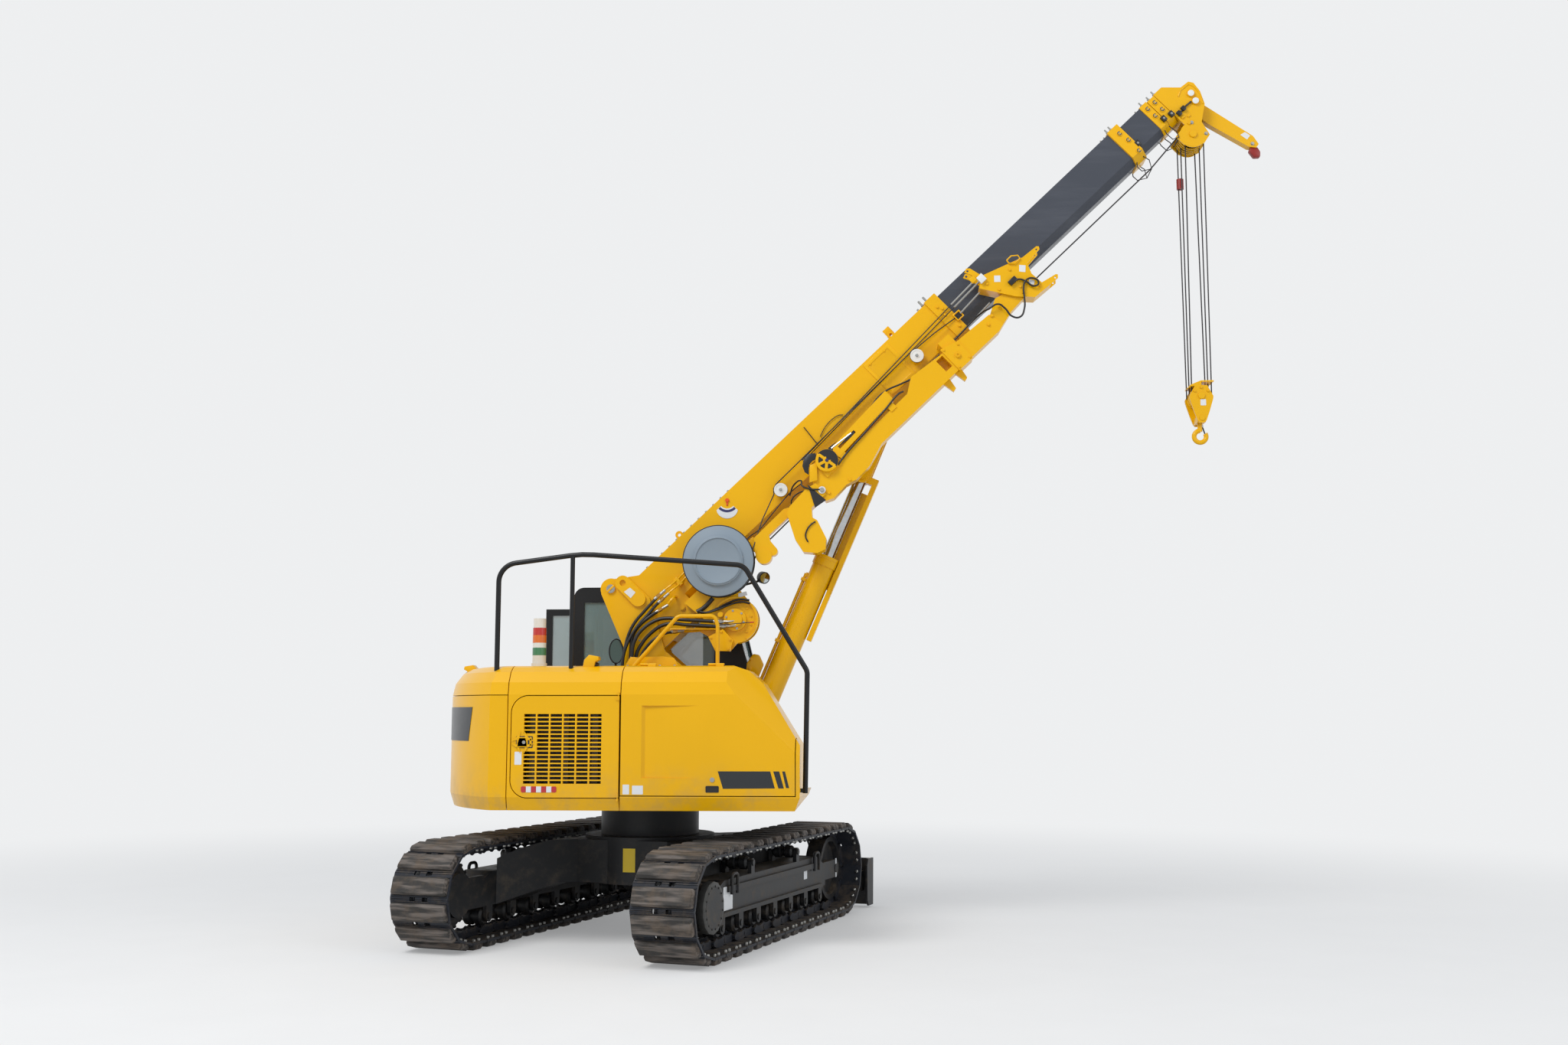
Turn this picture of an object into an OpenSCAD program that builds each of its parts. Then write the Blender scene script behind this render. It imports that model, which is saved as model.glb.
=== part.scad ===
// Crawler crane with a telescopic boom on a slewing upper body.
// Millimetres. Z is up, the origin is on the ground under the slewing axis,
// X is forward along the boom and Y is to the left, on the cab's side.

/* [Undercarriage] */
// Angle that the tracks are turned under the upper body
track_turn = 72.5; // [0:0.5:90]
// Width over both tracks, which is also the blade's width
overall_w = 2490; // [2300:10:2700]
// Width of one track shoe
shoe_w = 500; // [400:10:550]
// Distance between the sprocket's and the idler's axles
axle_base = 3000; // [2700:20:3300]
// Height of a track over its shoes
track_h = 815; // [760:5:860]
// Number of shoes on one track
shoe_count = 42; // [38:1:46]
// Thickness of a shoe's rubber pad
pad_t = 44; // [30:1:50]
// Thickness of a shoe's steel plate
plate_t = 18; // [14:1:24]
// Gap between two shoes
shoe_gap = 12; // [8:1:20]
// Height of the link chain inside the shoes
link_h = 70; // [55:1:80]
// Width of the link chain
link_w = 150; // [120:5:170]
// Radius of a bottom roller's tread
roller_r = 74; // [60:1:80]
// Number of bottom rollers on each side
roller_count = 7; // [5:1:8]
// Radius of a top roller's tread
carrier_r = 52; // [40:1:60]
// Width of a track frame's box
frame_w = 250; // [220:5:280]
// Radius of the final drive's round cover
drive_r = 168; // [140:2:190]
// Radius of the dark slewing pedestal
pedestal_r = 405; // [360:5:450]
// Height of the carbody's top plate
carbody_top = 770; // [740:5:790]

/* [Dozer blade] */
// Height of the blade
blade_h = 425; // [360:5:480]
// Gap left under the parked blade
blade_gap = 18; // [10:1:60]
// Thickness of the blade's curved plate
blade_t = 20; // [14:1:26]
// Distance of the blade's back from the slewing axis
blade_x = 2030; // [1990:5:2120]

/* [Upper body] */
// Height of the upper body's lower edge
body_z = 1050; // [1030:5:1080]
// Height of the upper body's flat top
body_top = 2150; // [2080:5:2200]
// Height of the crease under the rounded shoulder
crease_z = 1925; // [1880:5:1960]
// Half width of the upper body
body_hw = 1245; // [1180:5:1245]
// Radius of the tail about the slewing axis
tail_r = 1640; // [1600:5:1700]
// Distance of the nose from the slewing axis
nose_x = 1310; // [1280:5:1340]
// Thickness of the body's panels
panel_t = 30; // [20:1:40]
// Gap round a door or lid
door_gap = 7; // [6:1:12]
// Place of the seam between the side doors
seam_x = -60; // [-80:5:-40]
// Length of the counterweight
weight_len = 710; // [660:5:740]
// Right edge of the open channel under the boom
channel_r = -560; // [-590:5:-540]
// Left edge of the open channel under the boom
channel_l = 275; // [265:1:290]
// Number of slots along a row of the grille
slot_cols = 6; // [4:1:7]
// Number of rows of slots in the grille
slot_rows = 17; // [14:1:20]

/* [Cab] */
// Height of the cab's roof
cab_top = 2870; // [2800:5:2920]
// Rear face of the cab
cab_rear = -730; // [-760:5:-700]
// Thickness of the cab's walls
cab_wall = 45; // [40:1:60]
// Thickness of the panes
glass_t = 6; // [4:1:8]
// Width of the cab's door
door_w = 732; // [700:2:760]

/* [Boom] */
// Angle of the boom over the ground as parked
boom_angle = 43.5; // [40:0.5:46]
// Height of the boom's foot pin
pivot_z = 2815; // [2790:5:2840]
// Distance of the boom's foot pin behind the slewing axis
pivot_back = 317; // [300:1:330]
// Front end of the base section
base_end = 3700; // [3650:10:3750]
// Width of the base section
base_w = 380; // [372:1:390]
// Height of the base section
base_h = 450; // [440:1:460]
// Distance of the base section's top under the foot pin
base_drop = 70; // [60:1:80]
// Wall of the base section
base_wall = 12; // [8:1:14]
// Distance of the inner sections' middle line under the foot pin
mid_drop = 262; // [258:1:266]
// Width of the head's sheave pack
head_w = 220; // [212:2:230]
// Radius of the head sheaves
sheave_r = 92; // [84:1:100]
// Radius of the hoist rope
rope_r = 7; // [5:1:8]
// Radius of the luffing cylinder's barrel
barrel_r = 98; // [90:1:98]
// Radius of the luffing cylinder's rod
rod_r = 55; // [45:1:60]
// Radius of the cable reel
reel_r = 290; // [260:5:300]

/* [Hidden] */
$fn = 48;

// Running gap that keeps a round piece off its seat, and a sliding gap
fit = 0.3;
pin_fit = 0.5;
// Amount by which a cut runs past a face
over = 2;
weight_x = weight_len - tail_r;
yellow = [0.93, 0.69, 0.06];
steel_dark = [0.10, 0.10, 0.11];
boom_grey = [0.24, 0.26, 0.31];
reel_grey = [0.50, 0.55, 0.59];
chrome = [0.80, 0.81, 0.83];
black = [0.06, 0.06, 0.07];
glass_tint = [0.55, 0.68, 0.70, 0.35];

// A bar between two points
module bar(p, q, r) {
    d = q - p;
    len = norm(d);
    translate(p)
        rotate([0, acos(d[2] / len), atan2(d[1], d[0])])
            cylinder(r = r, h = len);
}

// A profile drawn in X and Z, given its thickness along Y from y0 to y1
module slab_y(y0, y1) {
    translate([0, y1, 0])
        rotate([90, 0, 0])
            linear_extrude(y1 - y0) children();
}

// A round bar along Y
module rod_y(x, z, r, y0, y1) {
    translate([x, y1, z])
        rotate([90, 0, 0]) cylinder(r = r, h = y1 - y0);
}

// A hinge knuckle along Z from 0 to len, with a bore for its pin or with the pin itself
knuckle_r = 9;
hinge_pin_r = 5;
module bored_knuckle(len) {
    difference() {
        cylinder(r = knuckle_r, h = len);
        translate([0, 0, -over]) cylinder(r = hinge_pin_r + pin_fit, h = len + 2 * over);
    }
}

module pinned_knuckle(len, pin) {
    cylinder(r = knuckle_r, h = len);
    cylinder(r = hinge_pin_r, h = len + pin);
}

function unit(v) = v / norm(v);
function turn_of(a, b) = a[0] * b[1] - a[1] * b[0];

// A round bar bent in the plane of X and Y: corners, each with its bend radius
module bent_bar(pts, bends, r) {
    last = len(pts) - 1;
    function heading(i) = unit(pts[i + 1] - pts[i]);
    function bend_angle(i) = acos(min(1, heading(i - 1) * heading(i)));
    function trim(i) = (i == 0 || i == last) ? 0 : bends[i] * tan(bend_angle(i) / 2);
    for (i = [0 : last - 1]) {
        a = pts[i] + heading(i) * trim(i);
        b = pts[i + 1] - heading(i) * trim(i + 1);
        bar([a[0], a[1], 0], [b[0], b[1], 0], r);
    }
    for (i = [1 : last - 1]) {
        u = heading(i - 1);
        side = turn_of(u, heading(i)) > 0 ? 1 : -1;
        n = [-u[1], u[0]] * side;
        c = pts[i] - u * trim(i) + n * bends[i];
        start = atan2(-n[1], -n[0]);
        translate([c[0], c[1], 0])
            rotate([0, 0, side > 0 ? start : start - bend_angle(i)])
                rotate_extrude(angle = bend_angle(i))
                    translate([bends[i], 0]) circle(r = r);
    }
}

// Undercarriage, drawn with its blade towards +X and then turned

gauge = overall_w - shoe_w;
wheel_z = track_h / 2;
half_base = axle_base / 2;
shoe_t = pad_t + plate_t;
chain_out = wheel_z - shoe_t;
chain_in = chain_out - link_h;
shoe_mid = wheel_z - shoe_t / 2;
loop_len = 2 * axle_base + 2 * PI * shoe_mid;
shoe_pitch = loop_len / shoe_count;
shoe_len = shoe_pitch - shoe_gap;
// How far a flat shoe's middle lies inside the round it bends about
shoe_sag = wheel_z - sqrt(wheel_z * wheel_z - shoe_len * shoe_len / 4);
band_t = 12;

module at_tracks() {
    rotate([0, 0, track_turn]) children();
}

// A closed loop round both axles, of radius r
module racetrack(r) {
    for (s = [-1, 1]) translate([s * half_base, 0]) circle(r = r, $fn = 96);
    square([axle_base, 2 * r], center = true);
}

// Place on the loop at a distance along it: x, z, turn and inward shift
function loop_place(s) =
    let (arc = PI * shoe_mid)
    s < axle_base ? [-half_base + s, -shoe_mid, 0, 0] :
    s < axle_base + arc ?
        let (a = (s - axle_base) / arc * 180)
        [half_base + (shoe_mid - shoe_sag) * sin(a), -(shoe_mid - shoe_sag) * cos(a), a, 0] :
    s < 2 * axle_base + arc ? [half_base - (s - axle_base - arc), shoe_mid, 180, 0] :
        let (a = (s - 2 * axle_base - arc) / arc * 180)
        [-half_base - (shoe_mid - shoe_sag) * sin(a), (shoe_mid - shoe_sag) * cos(a), 180 + a, 0];

module shoe_outline() {
    half = shoe_len / 2;
    pad_in = shoe_gap;
    bevel = pad_t * 0.55;
    polygon([
        [-half, shoe_t / 2], [-half, pad_t - shoe_t / 2], [-half + pad_in, pad_t - shoe_t / 2],
        [-half + pad_in + bevel, -shoe_t / 2], [half - pad_in - bevel, -shoe_t / 2],
        [half - pad_in, pad_t - shoe_t / 2], [half, pad_t - shoe_t / 2], [half, shoe_t / 2]
    ]);
}

module track() {
    translate([0, 0, wheel_z]) {
        slab_y(-shoe_w / 2, shoe_w / 2) {
            difference() {
                racetrack(chain_out + band_t);
                racetrack(chain_out - band_t);
            }
            for (i = [0 : shoe_count - 1]) {
                p = loop_place((i + 0.5) * shoe_pitch);
                translate([p[0], p[1]]) rotate([0, 0, p[2]]) shoe_outline();
            }
        }
        slab_y(-link_w / 2, link_w / 2)
            difference() {
                racetrack(chain_out - band_t / 2);
                racetrack(chain_in);
            }
    }
}

module track_right() {
    color(steel_dark) at_tracks() translate([0, -gauge / 2, 0]) track();
}

module track_left() {
    color(steel_dark) at_tracks() translate([0, gauge / 2, 0]) track();
}

roller_z = wheel_z - chain_in + roller_r + fit;
carrier_z = wheel_z + chain_in - carrier_r - fit;
frame_top = carrier_z - carrier_r - 28;
frame_bottom = roller_z + roller_r + 8;
box_end = half_base - chain_in - 20;
box_end_rear = -half_base + chain_in + 20;
box_half = frame_w / 2;
roller_half = link_w / 2 + 12;
shaft_r = 24;
roller_step = (box_end - box_end_rear - 260) / (roller_count - 1);
function roller_x(i) = box_end_rear + 130 + i * roller_step;
carrier_xs = [-480, 520];
axle_r = 38;
motor_plate_t = 46;

// A pair of ears that hold a roller's shaft, from z0 up or down to the shaft
module roller_ears(x, z0, z, r) {
    for (s = [-1, 1])
        slab_y(min(s * (roller_half + 6), s * box_half), max(s * (roller_half + 6), s * box_half))
            difference() {
                union() {
                    translate([x, z]) circle(r = r);
                    translate([x - r, min(z0, z)]) square([2 * r, abs(z - z0)]);
                }
                translate([x, z]) circle(r = shaft_r + fit);
            }
}

module one_track_frame() {
    lip = 22;
    difference() {
        union() {
            slab_y(-box_half, box_half)
                polygon([
                    [box_end_rear, frame_bottom], [box_end, frame_bottom],
                    [box_end, frame_top - 90], [box_end - 220, frame_top],
                    [box_end_rear + 160, frame_top], [box_end_rear, frame_top - 60]
                ]);
            // lip along the outer upper edge
            slab_y(-box_half - lip, -box_half)
                translate([box_end_rear + 200, frame_top - 90])
                    square([box_end - box_end_rear - 480, 44]);
            slab_y(-box_half - lip, -box_half)
                translate([box_end_rear, frame_bottom])
                    square([box_end - box_end_rear - 120, 30]);
        }
    }
    for (i = [0 : roller_count - 1])
        roller_ears(roller_x(i), frame_bottom + 1, roller_z, 44);
    for (x = carrier_xs)
        roller_ears(x, frame_top - 1, carrier_z, 34);
    // plate that carries the drive, on the inner side
    slab_y(box_half - motor_plate_t, box_half)
        difference() {
            union() {
                translate([-half_base, wheel_z]) circle(r = drive_r);
                translate([-half_base, wheel_z - 120]) square([chain_in + 60, 240]);
            }
        }
    // fork that carries the idler
    for (s = [-1, 1])
        slab_y(min(s * (link_w / 2 + 6), s * box_half), max(s * (link_w / 2 + 6), s * box_half))
            difference() {
                union() {
                    translate([half_base, wheel_z]) circle(r = 76);
                    translate([box_end - 40, wheel_z - 76]) square([half_base - box_end + 40, 152]);
                }
                translate([half_base, wheel_z]) circle(r = axle_r + fit);
            }
    frame_steps();
}

step_h = 150;
// Two bent bars on the outer side that serve as steps and grips
module frame_steps() {
    bar_r = 13;
    for (x = [box_end_rear + 250, box_end - 330])
        translate([x, -box_half - 22, frame_top - 110])
            rotate([90, 0, 0])
                bent_bar([[0, 0], [0, step_h], [110, step_h], [110, 0]], [0, 36, 36, 0], bar_r);
}

module track_frames() {
    color(steel_dark) at_tracks() {
        for (s = [-1, 1])
            translate([0, s * gauge / 2, 0]) mirror([0, s > 0 ? 1 : 0, 0]) one_track_frame();
    }
}

module sprocket() {
    teeth = 21;
    tooth_h = 20;
    root = chain_in - fit - tooth_h;
    // toothed ring and its hub, which ends in the round cover outside
    slab_y(-30, 30) {
        circle(r = root);
        for (i = [0 : teeth - 1])
            rotate([0, 0, i * 360 / teeth])
                translate([root - 3, -11]) square([tooth_h + 2, 22]);
    }
    rod_y(0, 0, drive_r + 34, 30, box_half - motor_plate_t - fit);
    rod_y(0, 0, drive_r + 20, -90, -30);
    rod_y(0, 0, drive_r, -shoe_w / 2 + 22, -90);
    rod_y(0, 0, drive_r - 16, -shoe_w / 2 + 6, -shoe_w / 2 + 22);
}

module sprockets() {
    color(steel_dark) at_tracks()
        for (s = [-1, 1])
            translate([-half_base, s * gauge / 2, wheel_z]) mirror([0, s > 0 ? 1 : 0, 0]) sprocket();
}

module idler() {
    rim = link_w / 2 - 4;
    r = chain_in - fit;
    rotate([90, 0, 0])
        rotate_extrude($fn = 96)
            polygon([
                [0, -link_w / 2 + 2], [60, -link_w / 2 + 2], [70, -24], [r - 52, -24],
                [r - 40, -rim], [r, -rim], [r, rim], [r - 40, rim], [r - 52, 24], [70, 24],
                [60, link_w / 2 - 2], [0, link_w / 2 - 2]
            ]);
    rod_y(0, 0, axle_r, -box_half - 6, box_half + 6);
}

module idlers() {
    color(steel_dark) at_tracks()
        for (s = [-1, 1]) translate([half_base, s * gauge / 2, wheel_z]) idler();
}

// A roller with a narrow waist, flanges at its ends and its shaft
module roller(x, z, r) {
    waist = r - 14;
    translate([x, 0, z]) rotate([90, 0, 0])
        rotate_extrude()
            polygon([
                [0, -box_half - 8], [shaft_r, -box_half - 8], [shaft_r, -roller_half], [waist, -roller_half],
                [r, -roller_half + 16], [r, -22], [waist, -14], [waist, 14], [r, 22],
                [r, roller_half - 16], [waist, roller_half], [shaft_r, roller_half],
                [shaft_r, box_half + 8], [0, box_half + 8]
            ]);
}

module track_rollers() {
    color(steel_dark) at_tracks()
        for (s = [-1, 1]) translate([0, s * gauge / 2, 0]) {
            for (i = [0 : roller_count - 1]) roller(roller_x(i), roller_z, roller_r);
            for (x = carrier_xs) roller(x, carrier_z, carrier_r);
        }
}

leg_y = gauge / 2 - box_half;
leg_slope_y = leg_y - 300;
carbody_bottom = 430;
leg_bottom = 285;
blade_pin = [720, 430];
blade_pin_r = 28;
blade_arm_y = 430;
ram_foot = [600, 690];
ram_pin_r = 22;
pedestal_top = body_z - 50;

module carbody() {
    color(steel_dark) at_tracks() {
        difference() {
            translate([0, 0, leg_bottom])
                linear_extrude(carbody_top - leg_bottom)
                    polygon([
                        [-980, -leg_y], [-560, -leg_y], [-320, -520], [320, -520], [560, -leg_y],
                        [980, -leg_y], [520, -400], [520, 400], [980, leg_y], [560, leg_y],
                        [320, 520], [-320, 520], [-560, leg_y], [-980, leg_y], [-520, 400],
                        [-520, -400]
                    ]);
            // lower edges fall to the track frames, and upper edges pass under the track's upper run
            rotate([90, 0, 90])
                translate([0, 0, -half_base])
                    linear_extrude(axle_base) {
                        polygon([
                            [-520, carbody_bottom], [520, carbody_bottom], [leg_y + over, leg_bottom],
                            [leg_y + over, leg_bottom - over], [-leg_y - over, leg_bottom - over],
                            [-leg_y - over, leg_bottom]
                        ]);
                        for (k = [-1, 1])
                            polygon([
                                [k * leg_slope_y, carbody_top], [k * (leg_y - 130), 714],
                                [k * (leg_y + over), 640], [k * (leg_y + over), carbody_top + over],
                                [k * leg_slope_y, carbody_top + over]
                            ]);
                    }
        }
        translate([0, 0, carbody_bottom - 8]) cylinder(r = pedestal_r + 130, h = carbody_top + 32 - carbody_bottom);
        translate([0, 0, carbody_top]) cylinder(r = pedestal_r, h = pedestal_top - carbody_top);
        // ears for the blade's arms and its cylinder
        for (y = [-blade_arm_y, blade_arm_y])
            for (s = [-1, 1])
                ear(y + s * 62, 24, blade_pin, 60, blade_pin_r, 330);
        for (s = [-1, 1])
            ear(s * 42, 20, ram_foot, 48, ram_pin_r, 420);
        for (y = [-blade_arm_y, blade_arm_y])
            rod_y(blade_pin[0], blade_pin[1], blade_pin_r, y - 80, y + 80);
        rod_y(ram_foot[0], ram_foot[1], ram_pin_r, -58, 58);
    }
}

// One ear of thickness t about y, from the carbody's face out to a pin
module ear(y, t, pin, r, hole_r, from_x) {
    slab_y(y - t / 2, y + t / 2) {
        translate(pin) circle(r = r);
        translate([from_x, pin[1] - r]) square([pin[0] - from_x, 2 * r]);
    }
}

// Dozer blade with its arms, drawn at rest

blade_top = blade_gap + blade_h;
ram_pin = [1500, 350];

module blade() {
    bow_r = 420;
    color(steel_dark) at_tracks() {
        difference() {
            union() {
                // curved plate between its end plates
                slab_y(-overall_w / 2, overall_w / 2)
                    intersection() {
                        difference() {
                            translate([blade_x + 70 + bow_r, blade_gap + blade_h * 0.55]) circle(r = bow_r);
                            translate([blade_x + 70 + bow_r, blade_gap + blade_h * 0.55])
                                circle(r = bow_r - blade_t);
                        }
                        translate([blade_x, blade_gap]) square([180, blade_h]);
                    }
                for (s = [-1, 1])
                    slab_y(s > 0 ? overall_w / 2 - 18 : -overall_w / 2,
                           s > 0 ? overall_w / 2 : -overall_w / 2 + 18)
                        polygon([
                            [blade_x, blade_gap + 60], [blade_x + 40, blade_gap], [blade_x + 170, blade_gap],
                            [blade_x + 185, blade_top], [blade_x + 30, blade_top], [blade_x, blade_top - 60]
                        ]);
                // stiffening box behind the plate
                slab_y(-overall_w / 2 + 60, overall_w / 2 - 60)
                    polygon([
                        [blade_x, 150], [blade_x + 88, 150], [blade_x + 84, 330], [blade_x, 330]
                    ]);
                for (y = [-blade_arm_y, blade_arm_y])
                    slab_y(y - 48, y + 48) {
                        polygon([
                            [blade_pin[0], blade_pin[1] - 55], [1900, 160], [blade_x + 10, 150],
                            [blade_x + 10, 330], [1850, 320], [blade_pin[0], blade_pin[1] + 55]
                        ]);
                        translate(blade_pin) circle(r = 55);
                    }
                // tie beam that carries the cylinder's ears
                slab_y(-blade_arm_y, blade_arm_y)
                    translate([ram_pin[0] - 70, ram_pin[1] - 150]) square([140, 90]);
                for (s = [-1, 1])
                    slab_y(s * 42 - 10, s * 42 + 10) {
                        translate(ram_pin) circle(r = 46);
                        translate([ram_pin[0] - 46, ram_pin[1] - 90]) square([92, 90]);
                    }
            }
            for (y = [-blade_arm_y, blade_arm_y])
                rod_y(blade_pin[0], blade_pin[1], blade_pin_r + pin_fit, y - 60, y + 60);
        }
    }
}

ram_dir = ram_pin - ram_foot;
ram_len = norm(ram_dir);
ram_turn = atan2(ram_dir[1], ram_dir[0]);
ram_barrel_len = 640;

// Blade cylinder drawn along X from its foot
module at_ram() {
    at_tracks() translate([ram_foot[0], 0, ram_foot[1]]) rotate([0, -ram_turn, 0]) children();
}

module blade_barrel() {
    color(steel_dark) at_ram()
        difference() {
            union() {
                rod_y(0, 0, 42, -28, 28);
                translate([0, -28, -36]) cube([70, 56, 72]);
                translate([60, 0, 0]) rotate([0, 90, 0]) cylinder(r = 52, h = ram_barrel_len - 60);
            }
            rod_y(0, 0, ram_pin_r + pin_fit, -60, 60);
            translate([80, 0, 0]) rotate([0, 90, 0]) cylinder(r = 30.5, h = ram_barrel_len);
        }
}

module blade_rod() {
    color(chrome) at_ram() {
        translate([330, 0, 0]) rotate([0, 90, 0]) cylinder(r = 30, h = ram_len - 330);
        rod_y(ram_len, 0, 40, -28, 28);
    }
}

// Upper body

shoulder = body_top - crease_z;
shoulder_in = 215;
skirt_in = 32;
skirt_z = body_z + 100;

// Half width or radius of the body against height, inset by d
module body_section(w, d) {
    rise = (body_top - crease_z) - d * 0.6;
    difference() {
        polygon([
            [0, body_z - over], [w - skirt_in - d, body_z - over], [w - d, skirt_z],
            [w - d, crease_z - d * 0.4], [w - d, body_top - d], [0, body_top - d]
        ]);
        // rounded shoulder
        translate([w - d - shoulder_in, body_top - d - rise])
            difference() {
                square([shoulder_in + over, rise + over]);
                scale([1, 1]) shoulder_arc(shoulder_in, rise);
            }
    }
}

// Convex shoulder from the crease to the flat top, as a chamfer with rounded ends
module shoulder_arc(w, h) {
    intersection() {
        square([w, h]);
        union() {
            polygon([[0, 0], [w, 0], [w * 0.9, h * 0.42], [w * 0.62, h * 0.78], [w * 0.28, h * 0.95], [0, h]]);
        }
    }
}

// Side view of the body: a flat top, a sloping nose and a straight lower front
module nose_section(d) {
    polygon([
        [-tail_r, body_z], [nose_x - 40 - d, body_z], [nose_x - d, skirt_z],
        [nose_x - d, 1540], [nose_x - 290 - d, 2010 - d * 0.4], [nose_x - 400 - d, 2110 - d * 0.8],
        [nose_x - 520 - d, body_top - d], [-tail_r, body_top - d]
    ]);
}

// The whole outer form of the upper body, inset by d
module body_form(d) {
    intersection() {
        rotate([90, 0, 90])
            translate([0, 0, -tail_r - over])
                linear_extrude(tail_r + nose_x + 2 * over) {
                    body_section(body_hw, d);
                    mirror([1, 0]) body_section(body_hw, d);
                }
        union() {
            rotate_extrude($fn = 120) body_section(tail_r, d);
            translate([0, -body_hw, body_z - over]) cube([nose_x + over, 2 * body_hw, body_top]);
        }
        slab_y(-body_hw - over, body_hw + over) nose_section(d);
        nose_facets(d);
    }
}

// Flat facet between each side and the sloping nose: a point on it and its outward direction
facet_at = [nose_x - 494, body_hw, crease_z + 3];
facet_out = unit([0.49, 0.70, 0.51]);
module nose_facets(d) {
    size = 6000;
    intersection_for(k = [-1, 1])
        mirror([0, k > 0 ? 0 : 1, 0])
            translate(facet_at - facet_out * d)
                rotate([0, acos(facet_out[2]), atan2(facet_out[1], facet_out[0])])
                    translate([-size, -size, -size]) cube([2 * size, 2 * size, size]);
}

module body_panels() {
    difference() {
        body_form(0);
        body_form(panel_t);
    }
}

side_in = body_hw - panel_t;
door_z0 = 1148;
door_z1 = 1915;
grille_x0 = -895;
grille_x1 = seam_x - door_gap;
front_x0 = seam_x + door_gap;
front_x1 = nose_x - panel_t - door_gap;
front_z0 = 1165;
hinge_y = -(body_hw - shoulder_in);
lid_z = body_top + 10;
lid_hinges = [60, 590];
grille_hinge = [grille_x1 - 5, -body_hw - 6];

// Outline of the grille door in X and Z, grown by g all round
module rounded_door(g) {
    r = 130 + g;
    x0 = grille_x0 - g;
    x1 = grille_x1 + g;
    z0 = door_z0 - g;
    z1 = door_z1 + g;
    translate([x0 + r, z0]) square([x1 - x0 - r, z1 - z0]);
    translate([x0, z0 + r]) square([r, z1 - z0 - 2 * r]);
    translate([x0 + r, z0 + r]) circle(r = r);
    translate([x0 + r, z1 - r]) circle(r = r);
}

module right_shell() {
    color(yellow) {
        difference() {
            intersection() {
                body_panels();
                translate([weight_x + door_gap, -body_hw - over, body_z - over])
                    cube([nose_x - weight_x + over, body_hw + channel_r + over, body_top]);
            }
            // opening behind the grille door
            slab_y(-body_hw - over, -side_in + over) rounded_door(door_gap);
            // seam through the skirt, and the seam through the shoulder behind the front door
            translate([seam_x - 4, -body_hw - over, body_z - over]) cube([8, over + skirt_in + 7, front_z0 - body_z]);
            // opening behind the front door, with the shoulder and nose corner
            translate([front_x0 - door_gap, -body_hw - over, front_z0 - door_gap])
                cube([front_x1 - front_x0 + 2 * door_gap, body_hw + hinge_y + over + door_gap, body_top]);
        }
        // wall along the channel
        intersection() {
            body_form(0);
            translate([weight_x + door_gap, channel_r - panel_t, body_z + 62])
                cube([nose_x - weight_x + over, panel_t, body_top]);
        }
        // knuckles of the front door, along X
        for (x = lid_hinges) {
            translate([x, hinge_y, lid_z]) rotate([0, 90, 0]) pinned_knuckle(60, 66);
            translate([x, hinge_y, body_top - 1]) cube([60, 40, 10]);
        }
        // brackets and pins of the grille door, above and below it
        translate([grille_hinge[0], grille_hinge[1], door_z1 + door_gap + 18])
            mirror([0, 0, 1]) pinned_knuckle(18, 36);
        translate([grille_hinge[0] - 9, grille_hinge[1], door_z1 + door_gap]) cube([18, 14, 18]);
        translate([grille_hinge[0], grille_hinge[1], door_z0 - door_gap - 18]) pinned_knuckle(18, 36);
        translate([grille_hinge[0] - 9, grille_hinge[1], door_z0 - door_gap - 18]) cube([18, 14, 18]);
    }
}

module grille_door() {
    col_w = 609 / slot_cols;
    row_h = 536 / slot_rows;
    latch_row = floor(slot_rows / 2);
    color(yellow) {
        slab_y(-body_hw, -side_in)
            difference() {
                rounded_door(0);
                for (c = [0 : slot_cols - 1])
                    for (r = [0 : slot_rows - 1])
                        if (c > 0 || r < latch_row || r > latch_row + 3)
                            translate([grille_x0 + 91 + c * col_w + 6, door_z0 + 99 + r * row_h + 5])
                                square([col_w - 12, row_h - 10]);
            }
        for (z = [door_z0 + 3, door_z1 - 33]) {
            translate([grille_hinge[0], grille_hinge[1], z]) bored_knuckle(30);
            translate([grille_hinge[0] - 24, grille_hinge[1] + 1, z]) cube([18, 12, 30]);
        }
    }
}

module front_door() {
    pocket_x = front_x0 + 158;
    color(yellow)
        difference() {
            intersection() {
                body_panels();
                translate([front_x0, -body_hw - over, front_z0])
                    cube([front_x1 - front_x0, body_hw + hinge_y + over, body_top]);
            }
            // shallow pocket, deepest along its rear edge and running out to the front
            translate([0, 0, door_z0 + 148])
                linear_extrude(door_z1 - door_z0 - 222)
                    polygon([
                        [pocket_x, -body_hw - over], [pocket_x, -body_hw], [pocket_x + 26, -body_hw + 18],
                        [pocket_x + 440, -body_hw], [pocket_x + 440, -body_hw - over]
                    ]);
        }
    color(yellow)
        for (x = lid_hinges)
            translate([x + 63, hinge_y, lid_z]) {
                rotate([0, 90, 0]) bored_knuckle(60);
                translate([0, -30, -24]) cube([60, 24, 26]);
            }
}

module counterweight() {
    color(yellow)
        intersection() {
            body_form(0);
            translate([-tail_r - over, -body_hw - over, body_z - over])
                cube([tail_r + weight_x + over, 2 * body_hw + 2 * over, crease_z - body_z - 4]);
        }
}

hood_x0 = -1290;
hood_x1 = -800;
hood_y0 = channel_r + 40;
hood_y1 = 900;
hood_hinge_x = hood_x1 + 4;
hood_hinges = [-420, 640];
cowl_x = -440;

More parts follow.
